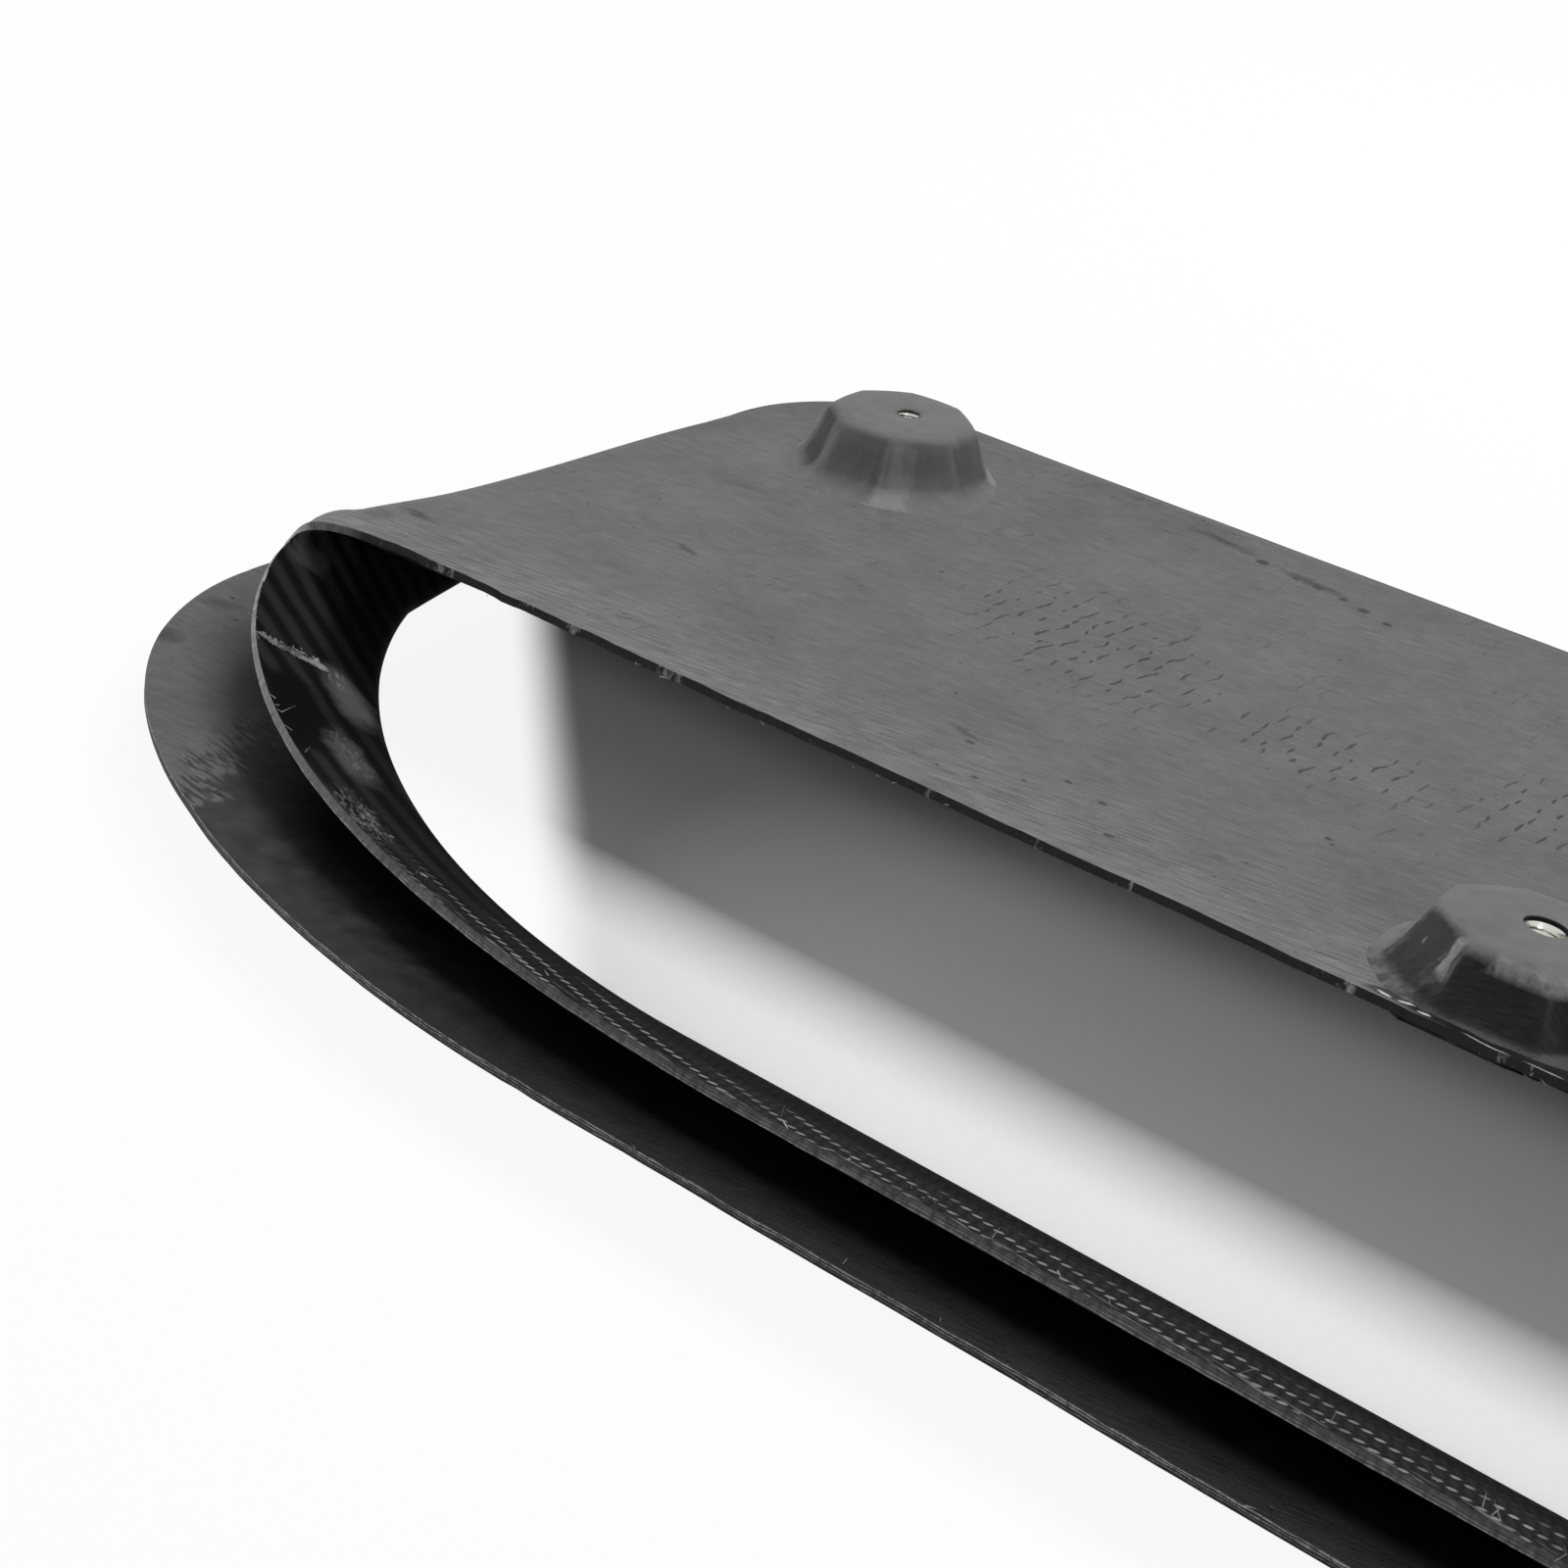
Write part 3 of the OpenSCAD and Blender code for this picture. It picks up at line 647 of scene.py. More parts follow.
def carbon_twill(keyed):
    """Clear-coated 3K twill as it leaves the mould: black tows under gloss resin, with painted reflection in the tones
    of its floats and painted highlights on the lip's wall. Where it was keyed with abrasive the gloss is gone, and the
    ribs show as faint grey bands."""
    material, tree, shader = surface("abraded_carbon_twill" if keyed else "clear_coated_carbon_twill")
    lay = layup(tree)[0]
    _, from_rim, mark = span_of(tree)
    where = tree.nodes.new("ShaderNodeSeparateXYZ")
    tree.links.new(put(tree, "TexCoord", out="Object"), where.inputs[0])
    turned = put(tree, "Mapping", {"Vector": ragged(tree, lay, 0.02, 2.0), "Rotation": (0, 0, math.radians(27.5))},
                 vector_type="TEXTURE")
    parts = tree.nodes.new("ShaderNodeSeparateXYZ")
    tree.links.new(turned, parts.inputs[0])
    height, over, weft, rib_wave = twill(tree, parts.outputs[0], parts.outputs[1])
    fibre = put(tree, "TexNoise", {"Vector": lay, "Scale": 3.0, "Detail": 2.0})
    # painted reflection: warp floats are painted paler than weft floats, for the light their fibres catch; each tow is
    # also darker towards its edges and ends
    dark = put(tree, "Mix", {"Factor": over, 6: tone("#0a0a0b"), 7: tone("#222223")}, out=2, data_type="RGBA")
    level = put(tree, "Math", [put(tree, "MapRange", [height, 0.2, 1.0, 0.4, 1.2]),
                               put(tree, "MapRange", [fibre, 0.3, 0.7, 0.75, 1.25])], operation="MULTIPLY")
    black = put(tree, "VectorMath", {0: dark, "Scale": level}, operation="SCALE")
    if keyed:
        banded = put(tree, "Mix", {"Factor": put(tree, "MapRange", [rib_wave, 0.2, 0.8, 0.0, 1.0],
                                                 interpolation_type="SMOOTHSTEP"),
                                   6: tone("#0f0f0f"), 7: tone("#272727")}, out=2, data_type="RGBA")
        strip = put(tree, "MapRange", [mark, 1.25, 1.1, 0.0, 1.0])
        plain = put(tree, "Mix", {"Factor": put(tree, "MapRange", [height, 0.2, 1.0, 0.0, 1.0]), 6: tone("#191919"),
                                  7: tone("#2c2c2c")}, out=2, data_type="RGBA")
        black = put(tree, "Mix", {"Factor": strip, 6: banded, 7: plain}, out=2, data_type="RGBA")
        # painted shade: the keyed wall is painted darker towards the nose's crest
        shade = put(tree, "MapRange", [from_rim, 24.0, 17.0, 0.45, 1.0])
        black = put(tree, "VectorMath", {0: black, "Scale": put(tree, "Math", [shade, put(
            tree, "MapRange", [fibre, 0.3, 0.7, 0.7, 1.3])], operation="MULTIPLY")}, operation="SCALE")

    # painted highlight: where the lip's wall faces up into the light, each weft float is painted with a bright dash,
    # less so low down
    lip = put(tree, "MapRange", [mark, 1.3, 1.1, 0.0, 1.0], interpolation_type="SMOOTHSTEP")
    high = put(tree, "MapRange", [from_rim, 20.0, 14.0, 0.0, 1.0], interpolation_type="SMOOTHSTEP")
    dash = put(tree, "MapRange", [weft, 0.1, 0.6, 0.0, 1.0])
    uneven = put(tree, "TexNoise", {"Vector": lay, "Scale": 0.18, "Detail": 3.0})
    dash = put(tree, "Math", [dash, put(tree, "MapRange", [uneven, 0.35, 0.6, 0.35, 1.0])], operation="MULTIPLY")
    smear_and_painted_glint = put(tree, "Math", [put(tree, "Math", [dash, lip], operation="MULTIPLY"), high], operation="MULTIPLY")
    smear_way = put(tree, "Mapping", {"Vector": lay, "Rotation": (0, 0, -0.15), "Scale": (8, 1.2, 1)},
                    vector_type="TEXTURE")
    smear = put(tree, "TexNoise", {"Vector": smear_way, "Scale": 1.0, "Detail": 4.0})
    by_rim = put(tree, "Math", [put(tree, "MapRange", [from_rim, 5.0, 1.0, 0.0, 1.0]), lip], operation="MULTIPLY")
    smear = put(tree, "Math", [put(tree, "MapRange", [smear, 0.52, 0.66, 0.0, 0.7]), by_rim], operation="MULTIPLY")
    smear_and_painted_glint = put(tree, "Math", [smear_and_painted_glint, smear], operation="MAXIMUM")

    # the left end: the end wall's inner side painted near black in places as a dark reflection; as the layup left it, a
    # dull scraped band, pale wisps and a bubble; and a pale streak along the frayed ridge, partly its fibres and partly
    # a painted highlight
    left_end = put(tree, "MapRange", [where.outputs[0], -0.1, -0.105, 0.0, 1.0])
    rough = ragged(tree, lay, 0.22, 2.4)
    scraped = spots(tree, rough, SCRAPED, 0.7)
    scraped = put(tree, "Math", [scraped, put(tree, "MapRange", [fibre, 0.3, 0.7, 0.6, 1.1])], operation="MULTIPLY")
    dark_reflection = spots(tree, rough, DARK_REFLECTIONS, 0.35)
    wisp_way = put(tree, "Mapping", {"Vector": rough, "Rotation": (0, 0, math.radians(-28)), "Scale": (3.5, 0.9, 1)},
                   vector_type="TEXTURE")
    wisp = put(tree, "TexNoise", {"Vector": wisp_way, "Scale": 1.0, "Detail": 5.0, "Roughness": 0.65})
    wisps = put(tree, "Math", [put(tree, "MapRange", [wisp, 0.5, 0.66, 0.0, 1.0]), spots(tree, lay, WISPS, 0.8)],
                operation="MULTIPLY")
    bubble = spots(tree, lay, BUBBLES, 0.4)
    # the pale streak along the frayed ridge is partly its loose fibres and partly a painted highlight along the crease
    frayed = spots(tree, ragged(tree, lay, 0.6, 0.5), FRAYED, 0.5)
    pale = put(tree, "Math", [put(tree, "Math", [wisps, bubble], operation="MAXIMUM"), frayed], operation="MAXIMUM")
    wave = put(tree, "Mix", {"Factor": put(tree, "Math", [left_end, dark_reflection], operation="MULTIPLY"), 6: black,
                             7: tone("#080808")}, out=2, data_type="RGBA")
    wave = put(tree, "Mix", {"Factor": put(tree, "Math", [left_end, scraped], operation="MULTIPLY"), 6: wave,
                             7: tone("#565656")}, out=2, data_type="RGBA")
    pale = put(tree, "Math", [left_end, pale], operation="MULTIPLY")
    smear_and_painted_glint = put(tree, "Math", [smear_and_painted_glint, put(tree, "Math", [1.0, pale], operation="SUBTRACT")], operation="MULTIPLY")
    # the painted highlights on the lip's wall and the smears by the rim go into the colour here as pale grey
    wave = put(tree, "Mix", {"Factor": smear_and_painted_glint, 6: wave, 7: tone("#979797")}, out=2, data_type="RGBA")
    # pale marks go into the colour here, the painted highlight on the frayed ridge among them
    colour = put(tree, "Mix", {"Factor": pale, 6: wave, 7: tone("#919191")}, out=2, data_type="RGBA")
    tree.links.new(colour, shader.inputs["Base Color"])
    bump = put(tree, "Bump", {"Strength": 0.4, "Distance": 0.0002,
                              "Height": put(tree, "Math", [height, pale], operation="ADD")}, out="Normal")
    tree.links.new(bump, shader.inputs["Normal"])
    shader.inputs["Roughness"].default_value = 0.8 if keyed else 0.4
    shader.inputs["IOR"].default_value = 1.52
    shader.inputs["Specular IOR Level"].default_value = 0.02 if keyed else 0.3
    shader.inputs["Coat Weight"].default_value = 0.0 if keyed else 0.5
    shader.inputs["Coat Roughness"].default_value = 0.1
    return material


def bag_laminate():
    """The laminate's bag side: dull grey resin over the last ply, with print-through, dry streaks and pinholes."""
    material, tree, shader = surface("bag_side_laminate")
    lay, u, v, _ = layup(tree)
    here = put(tree, "TexCoord", out="Object")
    where = tree.nodes.new("ShaderNodeSeparateXYZ")
    tree.links.new(here, where.inputs[0])
    from_edge, from_rim, mark = span_of(tree)

    # broad and fine mottling of the resin: patches of about 25 mm and 4 mm, grain of about 0.7 mm
    broad = put(tree, "TexNoise", {"Vector": lay, "Scale": 0.04, "Detail": 3.0})
    mottle = put(tree, "TexNoise", {"Vector": lay, "Scale": 0.25, "Detail": 4.0})
    grain = put(tree, "TexNoise", {"Vector": lay, "Scale": 1.4, "Detail": 3.0})
    base = put(tree, "Mix", {"Factor": put(tree, "MapRange", [broad, 0.35, 0.65, 0.0, 1.0]),
                             6: tone("#656565"), 7: tone("#6d6d6d")}, out=2, data_type="RGBA")
    fine = put(tree, "Math", [put(tree, "MapRange", [mottle, 0.3, 0.7, 0.93, 1.07]),
                              put(tree, "MapRange", [grain, 0.3, 0.7, 0.93, 1.07])], operation="MULTIPLY")

    # painted light: the ramp, past the shoulder, is painted paler towards its free edge, where it leans towards the
    # light
    on_ramp_part = put(tree, "MapRange", [where.outputs[1], -0.064, -0.061, 0.0, 1.0])
    near_free = put(tree, "Math", [put(tree, "MapRange", [from_rim, 55.0, 5.0, 0.0, 1.0],
                                       interpolation_type="SMOOTHSTEP"), on_ramp_part], operation="MULTIPLY")
    lift = put(tree, "MapRange", [near_free, 0.0, 1.0, 1.0, 1.18])
    level = put(tree, "Math", [fine, lift], operation="MULTIPLY")
    # painted shade: outside the shoulder, where the flange rolls away from the light, it is painted darker
    brim = put(tree, "MapRange", [from_edge, 12.0, 30.0, 0.88, 1.0], interpolation_type="SMOOTHSTEP")
    level = put(tree, "Math", [level, brim], operation="MULTIPLY")

    # peel-ply ridges, about a millimetre apart and nearly along the width
    ridge_way = put(tree, "Mapping", {"Vector": lay, "Rotation": (0, 0, math.radians(11)), "Scale": (11, 0.95, 1)},
                    vector_type="TEXTURE")
    ridge = put(tree, "TexNoise", {"Vector": ridge_way, "Scale": 1.0, "Detail": 5.0, "Roughness": 0.7})
    ridge_part = put(tree, "MapRange", [near_free, 0.0, 1.0, 0.4, 1.0])
    ridge_tone = put(tree, "Math", [put(tree, "Math", [ridge, 0.5], operation="SUBTRACT"), ridge_part],
                     operation="MULTIPLY")
    level = put(tree, "Math", [level, put(tree, "MapRange", [ridge_tone, -0.16, 0.16, 0.56, 1.42])],
                operation="MULTIPLY")

    # dry streaks where the tows sink: short, along the depth, on lines 5.6 mm apart
    slanted = put(tree, "Math", [u, put(tree, "Math", [v, SLANT], operation="MULTIPLY")], operation="ADD")
    wander = put(tree, "TexNoise", {"Vector": lay, "Scale": 0.1, "Detail": 2.0})
    slanted = put(tree, "Math", [slanted, put(tree, "MapRange", [wander, 0.0, 1.0, -2.5, 2.5])], operation="ADD")
    cell_u = put(tree, "Math", [slanted, 5.6], operation="DIVIDE")
    row_v = put(tree, "Math", [put(tree, "Math", [v, put(tree, "MapRange", [wander, 0.0, 1.0, -6.0, 6.0])],
                                   operation="ADD"), 7.5], operation="DIVIDE")
    cell = put(tree, "CombineXYZ", [put(tree, "Math", [cell_u], operation="FLOOR"),
                                    put(tree, "Math", [row_v], operation="FLOOR"), 0.0])
    luck = tree.nodes.new("ShaderNodeTexWhiteNoise")
    tree.links.new(cell, luck.inputs["Vector"])
    chance = tree.nodes.new("ShaderNodeSeparateXYZ")
    tree.links.new(luck.outputs["Color"], chance.inputs[0])
    centre_u = put(tree, "MapRange", [chance.outputs[0], 0.0, 1.0, 0.25, 0.75])
    centre_v = put(tree, "MapRange", [chance.outputs[1], 0.0, 1.0, 0.35, 0.65])
    off_u = put(tree, "Math", [put(tree, "Math", [put(tree, "Math", [cell_u], operation="FRACT"), centre_u],
                                   operation="SUBTRACT")], operation="ABSOLUTE")
    off_v = put(tree, "Math", [put(tree, "Math", [put(tree, "Math", [row_v], operation="FRACT"), centre_v],
                                   operation="SUBTRACT")], operation="ABSOLUTE")
    half_len = put(tree, "MapRange", [chance.outputs[2], 0.0, 1.0, 0.12, 0.5])
    ends = put(tree, "Math", [off_v, half_len], operation="DIVIDE")
    width = put(tree, "MapRange", [put(tree, "Math", [ends, ends], operation="MULTIPLY"), 0.0, 1.0, 0.075, 0.02])
    thin = put(tree, "MapRange", [put(tree, "Math", [off_u, width], operation="DIVIDE"), 1.3, 0.5, 0.0, 1.0])
    short = put(tree, "MapRange", [put(tree, "Math", [off_v, half_len], operation="SUBTRACT"), 0.08, -0.05, 0.0, 1.0])
    streak = put(tree, "Math", [thin, short], operation="MULTIPLY")
    patches = put(tree, "TexNoise", {"Vector": lay, "Scale": 0.022, "Detail": 2.0})
    zones = put(tree, "MapRange", [patches, 0.47, 0.62, 0.0, 1.0])
    zones = put(tree, "Math", [put(tree, "Math", [zones, 0.35], operation="MULTIPLY"),
                               spots(tree, lay, STREAK_ZONES, 0.7)], operation="MAXIMUM")
    keep = put(tree, "Math", [put(tree, "Math", [luck.outputs["Value"], zones], operation="LESS_THAN"), zones],
               operation="MULTIPLY")
    streak = put(tree, "Math", [put(tree, "Math", [streak, keep], operation="MULTIPLY"), on_ramp_part],
                 operation="MULTIPLY")

    # pinholes in the resin, about half a millimetre wide and 9 mm apart
    pin_cells = tree.nodes.new("ShaderNodeTexVoronoi")
    tree.links.new(lay, pin_cells.inputs["Vector"])
    pin_cells.inputs["Scale"].default_value = 0.11
    few = put(tree, "Math", [put(tree, "SeparateXYZ", [pin_cells.outputs["Color"]]), 0.45], operation="LESS_THAN")
    pin = put(tree, "MapRange", [pin_cells.outputs["Distance"], 0.07, 0.035, 0.0, 1.0])
    pin = put(tree, "Math", [pin, few], operation="MULTIPLY")

    # places where the resin is starved or stained dark
    stain = put(tree, "Math", [spots(tree, ragged(tree, lay, 0.2, 2.5), STAINS, 0.9),
                               spots(tree, ragged(tree, lay, 0.9, 0.5), PITS, 0.5)], operation="MAXIMUM")
    dark = put(tree, "Math", [put(tree, "Math", [streak, 0.72], operation="MULTIPLY"),
                              put(tree, "Math", [pin, 0.65], operation="MULTIPLY")], operation="MAXIMUM")
    dark = put(tree, "Math", [dark, stain], operation="MAXIMUM")
    level = put(tree, "Math", [level, put(tree, "Math", [1.0, dark], operation="SUBTRACT")], operation="MULTIPLY")
    grey = put(tree, "VectorMath", {0: base, "Scale": level}, operation="SCALE")

    # the lip was wetted out fully: black resin, from the left end of the lip round its front to the right end
    blotch = put(tree, "TexNoise", {"Vector": lay, "Scale": 0.09, "Detail": 4.0})
    ragged_mark = put(tree, "Math", [mark, put(tree, "MapRange", [blotch, 0.25, 0.75, -0.06, 0.06])], operation="ADD")
    ragged_mark = put(tree, "Math", [ragged_mark, put(tree, "MapRange", [from_edge, 0.0, 45.0, 0.075, -0.231])],
                      operation="ADD")
    wet = put(tree, "MapRange", [ragged_mark, 1.56, 1.43, 0.0, 1.0], interpolation_type="SMOOTHSTEP")
    off_ramp = put(tree, "MapRange", [where.outputs[1], -0.061, -0.066, 0.0, 1.0])
    wet = put(tree, "Math", [wet, off_ramp], operation="MULTIPLY")
    hatch_way = put(tree, "Mapping", {"Vector": lay, "Rotation": (0, 0, math.radians(HATCH)), "Scale": (5, 1.1, 1)},
                    vector_type="TEXTURE")
    hatch = put(tree, "TexNoise", {"Vector": hatch_way, "Scale": 1.0, "Detail": 2.0})
    edge_part = put(tree, "Math", [wet, put(tree, "Math", [1.0, wet], operation="SUBTRACT")], operation="MULTIPLY")
    wet = put(tree, "Math", [wet, put(tree, "Math", [edge_part, put(tree, "MapRange", [hatch, 0.42, 0.58, -2.8, 2.8])],
                                      operation="MULTIPLY")], operation="ADD", use_clamp=True)
    # painted shade: at the left end the band's outer half is paler, and its inner half, in the recess under the
    # overhanging wall, black
    outer_half = put(tree, "MapRange", [from_edge, 30.0, 14.0, 0.0, 1.0], interpolation_type="SMOOTHSTEP")
    near_left = put(tree, "MapRange", [mark, 1.0, 1.3, 0.0, 1.0], interpolation_type="SMOOTHSTEP")
    paler = put(tree, "Math", [outer_half, near_left], operation="MULTIPLY")
    black = put(tree, "Mix", {"Factor": paler, 6: tone("#0d0d0d"), 7: tone("#2c2c2c")}, out=2, data_type="RGBA")
    black_mottle = put(tree, "MapRange", [put(tree, "TexNoise", {"Vector": lay, "Scale": 0.16, "Detail": 5.0}),
                                          0.35, 0.7, 0.7, 1.6])
    black = put(tree, "VectorMath", {0: black, "Scale": black_mottle}, operation="SCALE")
    wet = put(tree, "Math", [wet, spots(tree, ragged(tree, lay, 0.3, 1.2), RUNS, 0.3)], operation="MAXIMUM")
    colour = put(tree, "Mix", {"Factor": wet, 6: grey, 7: black}, out=2, data_type="RGBA")
    splash = spots(tree, ragged(tree, lay, 0.8, 0.4), SPLASHES, 0.4)
    colour = put(tree, "Mix", {"Factor": splash, 6: colour, 7: tone("#c9c9c9")}, out=2, data_type="RGBA")
    tree.links.new(colour, shader.inputs["Base Color"])

    rough_level = put(tree, "Mix", {"Factor": wet, 2: 0.62, 3: 0.36})
    tree.links.new(rough_level, shader.inputs["Roughness"])
    height = put(tree, "Math", [put(tree, "Math", [ridge_tone, 0.9], operation="MULTIPLY"),
                                put(tree, "Math", [grain, 0.16], operation="MULTIPLY")], operation="ADD")
    height = put(tree, "Math", [height, put(tree, "Math", [mottle, 0.4], operation="MULTIPLY")], operation="ADD")
    height = put(tree, "Math", [height, put(tree, "Math", [dark, 0.5], operation="MULTIPLY")], operation="SUBTRACT")
    bump = put(tree, "Bump", {"Strength": 0.5, "Distance": 0.0005, "Height": height}, out="Normal")
    tree.links.new(bump, shader.inputs["Normal"])
    shader.inputs["IOR"].default_value = 1.5
    shader.inputs["Specular IOR Level"].default_value = 0.08
    return material


def cut_edge():
    """The sawn and sanded edge: pale fibre ends along the plies, with dark resin lines between."""
    material, tree, shader = surface("trimmed_laminate_edge")
    lay, _, _, ply = layup(tree)
    _, from_rim, mark = span_of(tree)
    wave_way = put(tree, "Mapping", {"Vector": lay, "Scale": (0.16, 0.16, 2.0)})
    wave = put(tree, "TexNoise", {"Vector": wave_way, "Scale": 1.0, "Detail": 3.0})
    across = put(tree, "Math", [ply, put(tree, "MapRange", [wave, 0.3, 0.7, -0.1, 0.1])], operation="ADD")
    lip = put(tree, "MapRange", [mark, 1.45, 1.2, 0.0, 1.0])
    lines = None
    for place, width, strength, everywhere in PALE_PLIES:
        off = put(tree, "Math", [put(tree, "Math", [across, place], operation="SUBTRACT")], operation="ABSOLUTE")
        line = put(tree, "MapRange", [off, width, width * 0.4, 0.0, strength])
        if not everywhere:
            line = put(tree, "Math", [line, lip], operation="MULTIPLY")
        lines = line if lines is None else put(tree, "Math", [lines, line], operation="MAXIMUM")
    chips = put(tree, "TexNoise", {"Vector": lay, "Scale": 0.7, "Detail": 5.0, "Roughness": 0.65})
    lines = put(tree, "Math", [lines, put(tree, "MapRange", [chips, 0.35, 0.6, 0.25, 1.0])], operation="MULTIPLY")
    # the rim round the lip was sawn dry and is pale all over, most of all at the ends
    by_rim = put(tree, "Math", [from_rim, 1.0], operation="LESS_THAN")
    dry = put(tree, "Mix", {"Factor": put(tree, "MapRange", [mark, 1.3, 1.6, 0.0, 1.0]), 2: 0.28, 3: 0.75})
    dry = put(tree, "Math", [put(tree, "Math", [dry, by_rim], operation="MULTIPLY"),
                             put(tree, "MapRange", [chips, 0.35, 0.65, 0.5, 1.1])], operation="MULTIPLY")
    lines = put(tree, "Math", [lines, dry], operation="MAXIMUM")
    # along the ramp's free edge the cut is sealed with black resin, and only a few chips show
    free = put(tree, "Math", [put(tree, "MapRange", [mark, 1.95, 2.02, 0.0, 1.0]), by_rim], operation="MULTIPLY")
    few = put(tree, "TexNoise", {"Vector": lay, "Scale": 0.12, "Detail": 6.0, "Roughness": 0.75})
    few = put(tree, "MapRange", [few, 0.57, 0.65, 0.04, 1.3])
    lines = put(tree, "Math", [lines, put(tree, "Mix", {"Factor": free, 2: 1.0, 3: few})], operation="MULTIPLY",
                use_clamp=True)
    colour = put(tree, "Mix", {"Factor": lines, 6: tone("#161616"), 7: tone("#a6a6a6")}, out=2, data_type="RGBA")
    tree.links.new(colour, shader.inputs["Base Color"])
    bump = put(tree, "Bump", {"Strength": 0.6, "Distance": 0.0003, "Height": lines}, out="Normal")
    tree.links.new(bump, shader.inputs["Normal"])
    shader.inputs["Roughness"].default_value = 0.55
    shader.inputs["Specular IOR Level"].default_value = 0.15
    return material


def boss_laminate():
    """Cloth and resin laid over the bosses: dull grey, its sides painted darker and paler as shade and light fall on
    them, and on the middle boss's sides a thick wet black coat with fine lines of the cloth under it."""
    material, tree, shader = surface("boss_overlay_resin")
    lay = layup(tree)[0]
    share, hole, which = span_of(tree)
    side = put(tree, "Attribute", out="Vector", attribute_name="round")
    mottle = put(tree, "TexNoise", {"Vector": lay, "Scale": 0.2, "Detail": 4.0})
    grain = put(tree, "TexNoise", {"Vector": lay, "Scale": 1.5, "Detail": 3.0})
    stray = put(tree, "MapRange", [mottle, 0.3, 0.7, -0.12, 0.12])

    def facing(deg, half, soft):
        """1 where the side faces within half a spread of this direction, falling to 0 over the soft part."""
        a = math.radians(deg)
        ahead = put(tree, "VectorMath", [side, (math.cos(a), math.sin(a), 0.0)], out="Value", operation="DOT_PRODUCT")
        aside = put(tree, "VectorMath", [side, (-math.sin(a), math.cos(a), 0.0)], out="Value",
                    operation="DOT_PRODUCT")
        away = put(tree, "Math", [put(tree, "Math", [aside, ahead], operation="ARCTAN2"), stray], operation="ADD")
        away = put(tree, "Math", [away], operation="ABSOLUTE")
        return put(tree, "MapRange", [away, math.radians(half + soft), math.radians(half), 0.0, 1.0],
                   interpolation_type="SMOOTHSTEP")

    def between(low, high, soft=0.06):
        """1 between two shares of the boss's height."""
        rise = put(tree, "MapRange", [share, low - soft, low + soft, 0.0, 1.0])
        fall = put(tree, "MapRange", [share, high + soft, high - soft, 0.0, 1.0])
        return put(tree, "Math", [rise, fall], operation="MULTIPLY")

    level = put(tree, "Math", [put(tree, "MapRange", [mottle, 0.3, 0.7, 0.9, 1.1]),
                               put(tree, "MapRange", [grain, 0.3, 0.7, 0.95, 1.05])], operation="MULTIPLY")
    # painted shade and light: sides that face away from the lamps are painted darker, and sides that face them paler
    for deg, half, soft, low, high, gain in SIDE_SHADE_AND_LIGHT:
        part = put(tree, "Math", [facing(deg, half, soft), between(low, high)], operation="MULTIPLY")
        level = put(tree, "Math", [level, put(tree, "MapRange", [part, 0.0, 1.0, 1.0, gain])], operation="MULTIPLY")
    grey = put(tree, "VectorMath", {0: tone("#6c6c6c")[:3], "Scale": level}, operation="SCALE")

    middle = put(tree, "Math", [which, 30.0], operation="GREATER_THAN")
    drip = put(tree, "TexNoise", {"Vector": lay, "Scale": 0.11, "Detail": 5.0})
    line = put(tree, "Math", [share, put(tree, "MapRange", [drip, 0.3, 0.7, -0.1, 0.1])], operation="ADD")
    wet = put(tree, "MapRange", [line, 0.94, 0.84, 0.0, 1.0])
    wet = put(tree, "Math", [wet, facing(-67, 50, 3)], operation="MULTIPLY")
    patchy = put(tree, "TexNoise", {"Vector": lay, "Scale": 0.35, "Detail": 5.0, "Roughness": 0.7})
    left_side = put(tree, "Math", [facing(-137, 20, 10), put(tree, "MapRange", [patchy, 0.42, 0.58, 0.0, 0.75])],
                    operation="MULTIPLY")
    left_side = put(tree, "Math", [left_side, put(tree, "MapRange", [share, 0.99, 0.93, 0.0, 1.0])],
                    operation="MULTIPLY")
    wet = put(tree, "Math", [put(tree, "Math", [wet, left_side], operation="MAXIMUM"), middle], operation="MULTIPLY")
    cloth_way = put(tree, "Mapping", {"Vector": lay, "Rotation": (0, 0, math.radians(8)), "Scale": (4.0, 0.45, 1)},
                    vector_type="TEXTURE")
    cloth = put(tree, "TexNoise", {"Vector": cloth_way, "Scale": 1.0, "Detail": 3.0})
    black_level = put(tree, "Math", [put(tree, "MapRange", [mottle, 0.35, 0.7, 0.6, 1.7]),
                                     put(tree, "MapRange", [cloth, 0.35, 0.65, 0.6, 1.5])], operation="MULTIPLY")
    black = put(tree, "VectorMath", {0: tone("#202020")[:3], "Scale": black_level}, operation="SCALE")
    speck = tree.nodes.new("ShaderNodeTexVoronoi")
    tree.links.new(lay, speck.inputs["Vector"])
    speck.inputs["Scale"].default_value = 0.16
    dot = put(tree, "MapRange", [speck.outputs["Distance"], 0.11, 0.06, 0.0, 1.0])
    some = put(tree, "Math", [put(tree, "SeparateXYZ", [speck.outputs["Color"]]), 0.35], operation="LESS_THAN")
    dot = put(tree, "Math", [dot, some], operation="MULTIPLY")
    black = put(tree, "Mix", {"Factor": dot, 6: black, 7: tone("#b8b8b8")}, out=2, data_type="RGBA")
    colour = put(tree, "Mix", {"Factor": wet, 6: grey, 7: black}, out=2, data_type="RGBA")

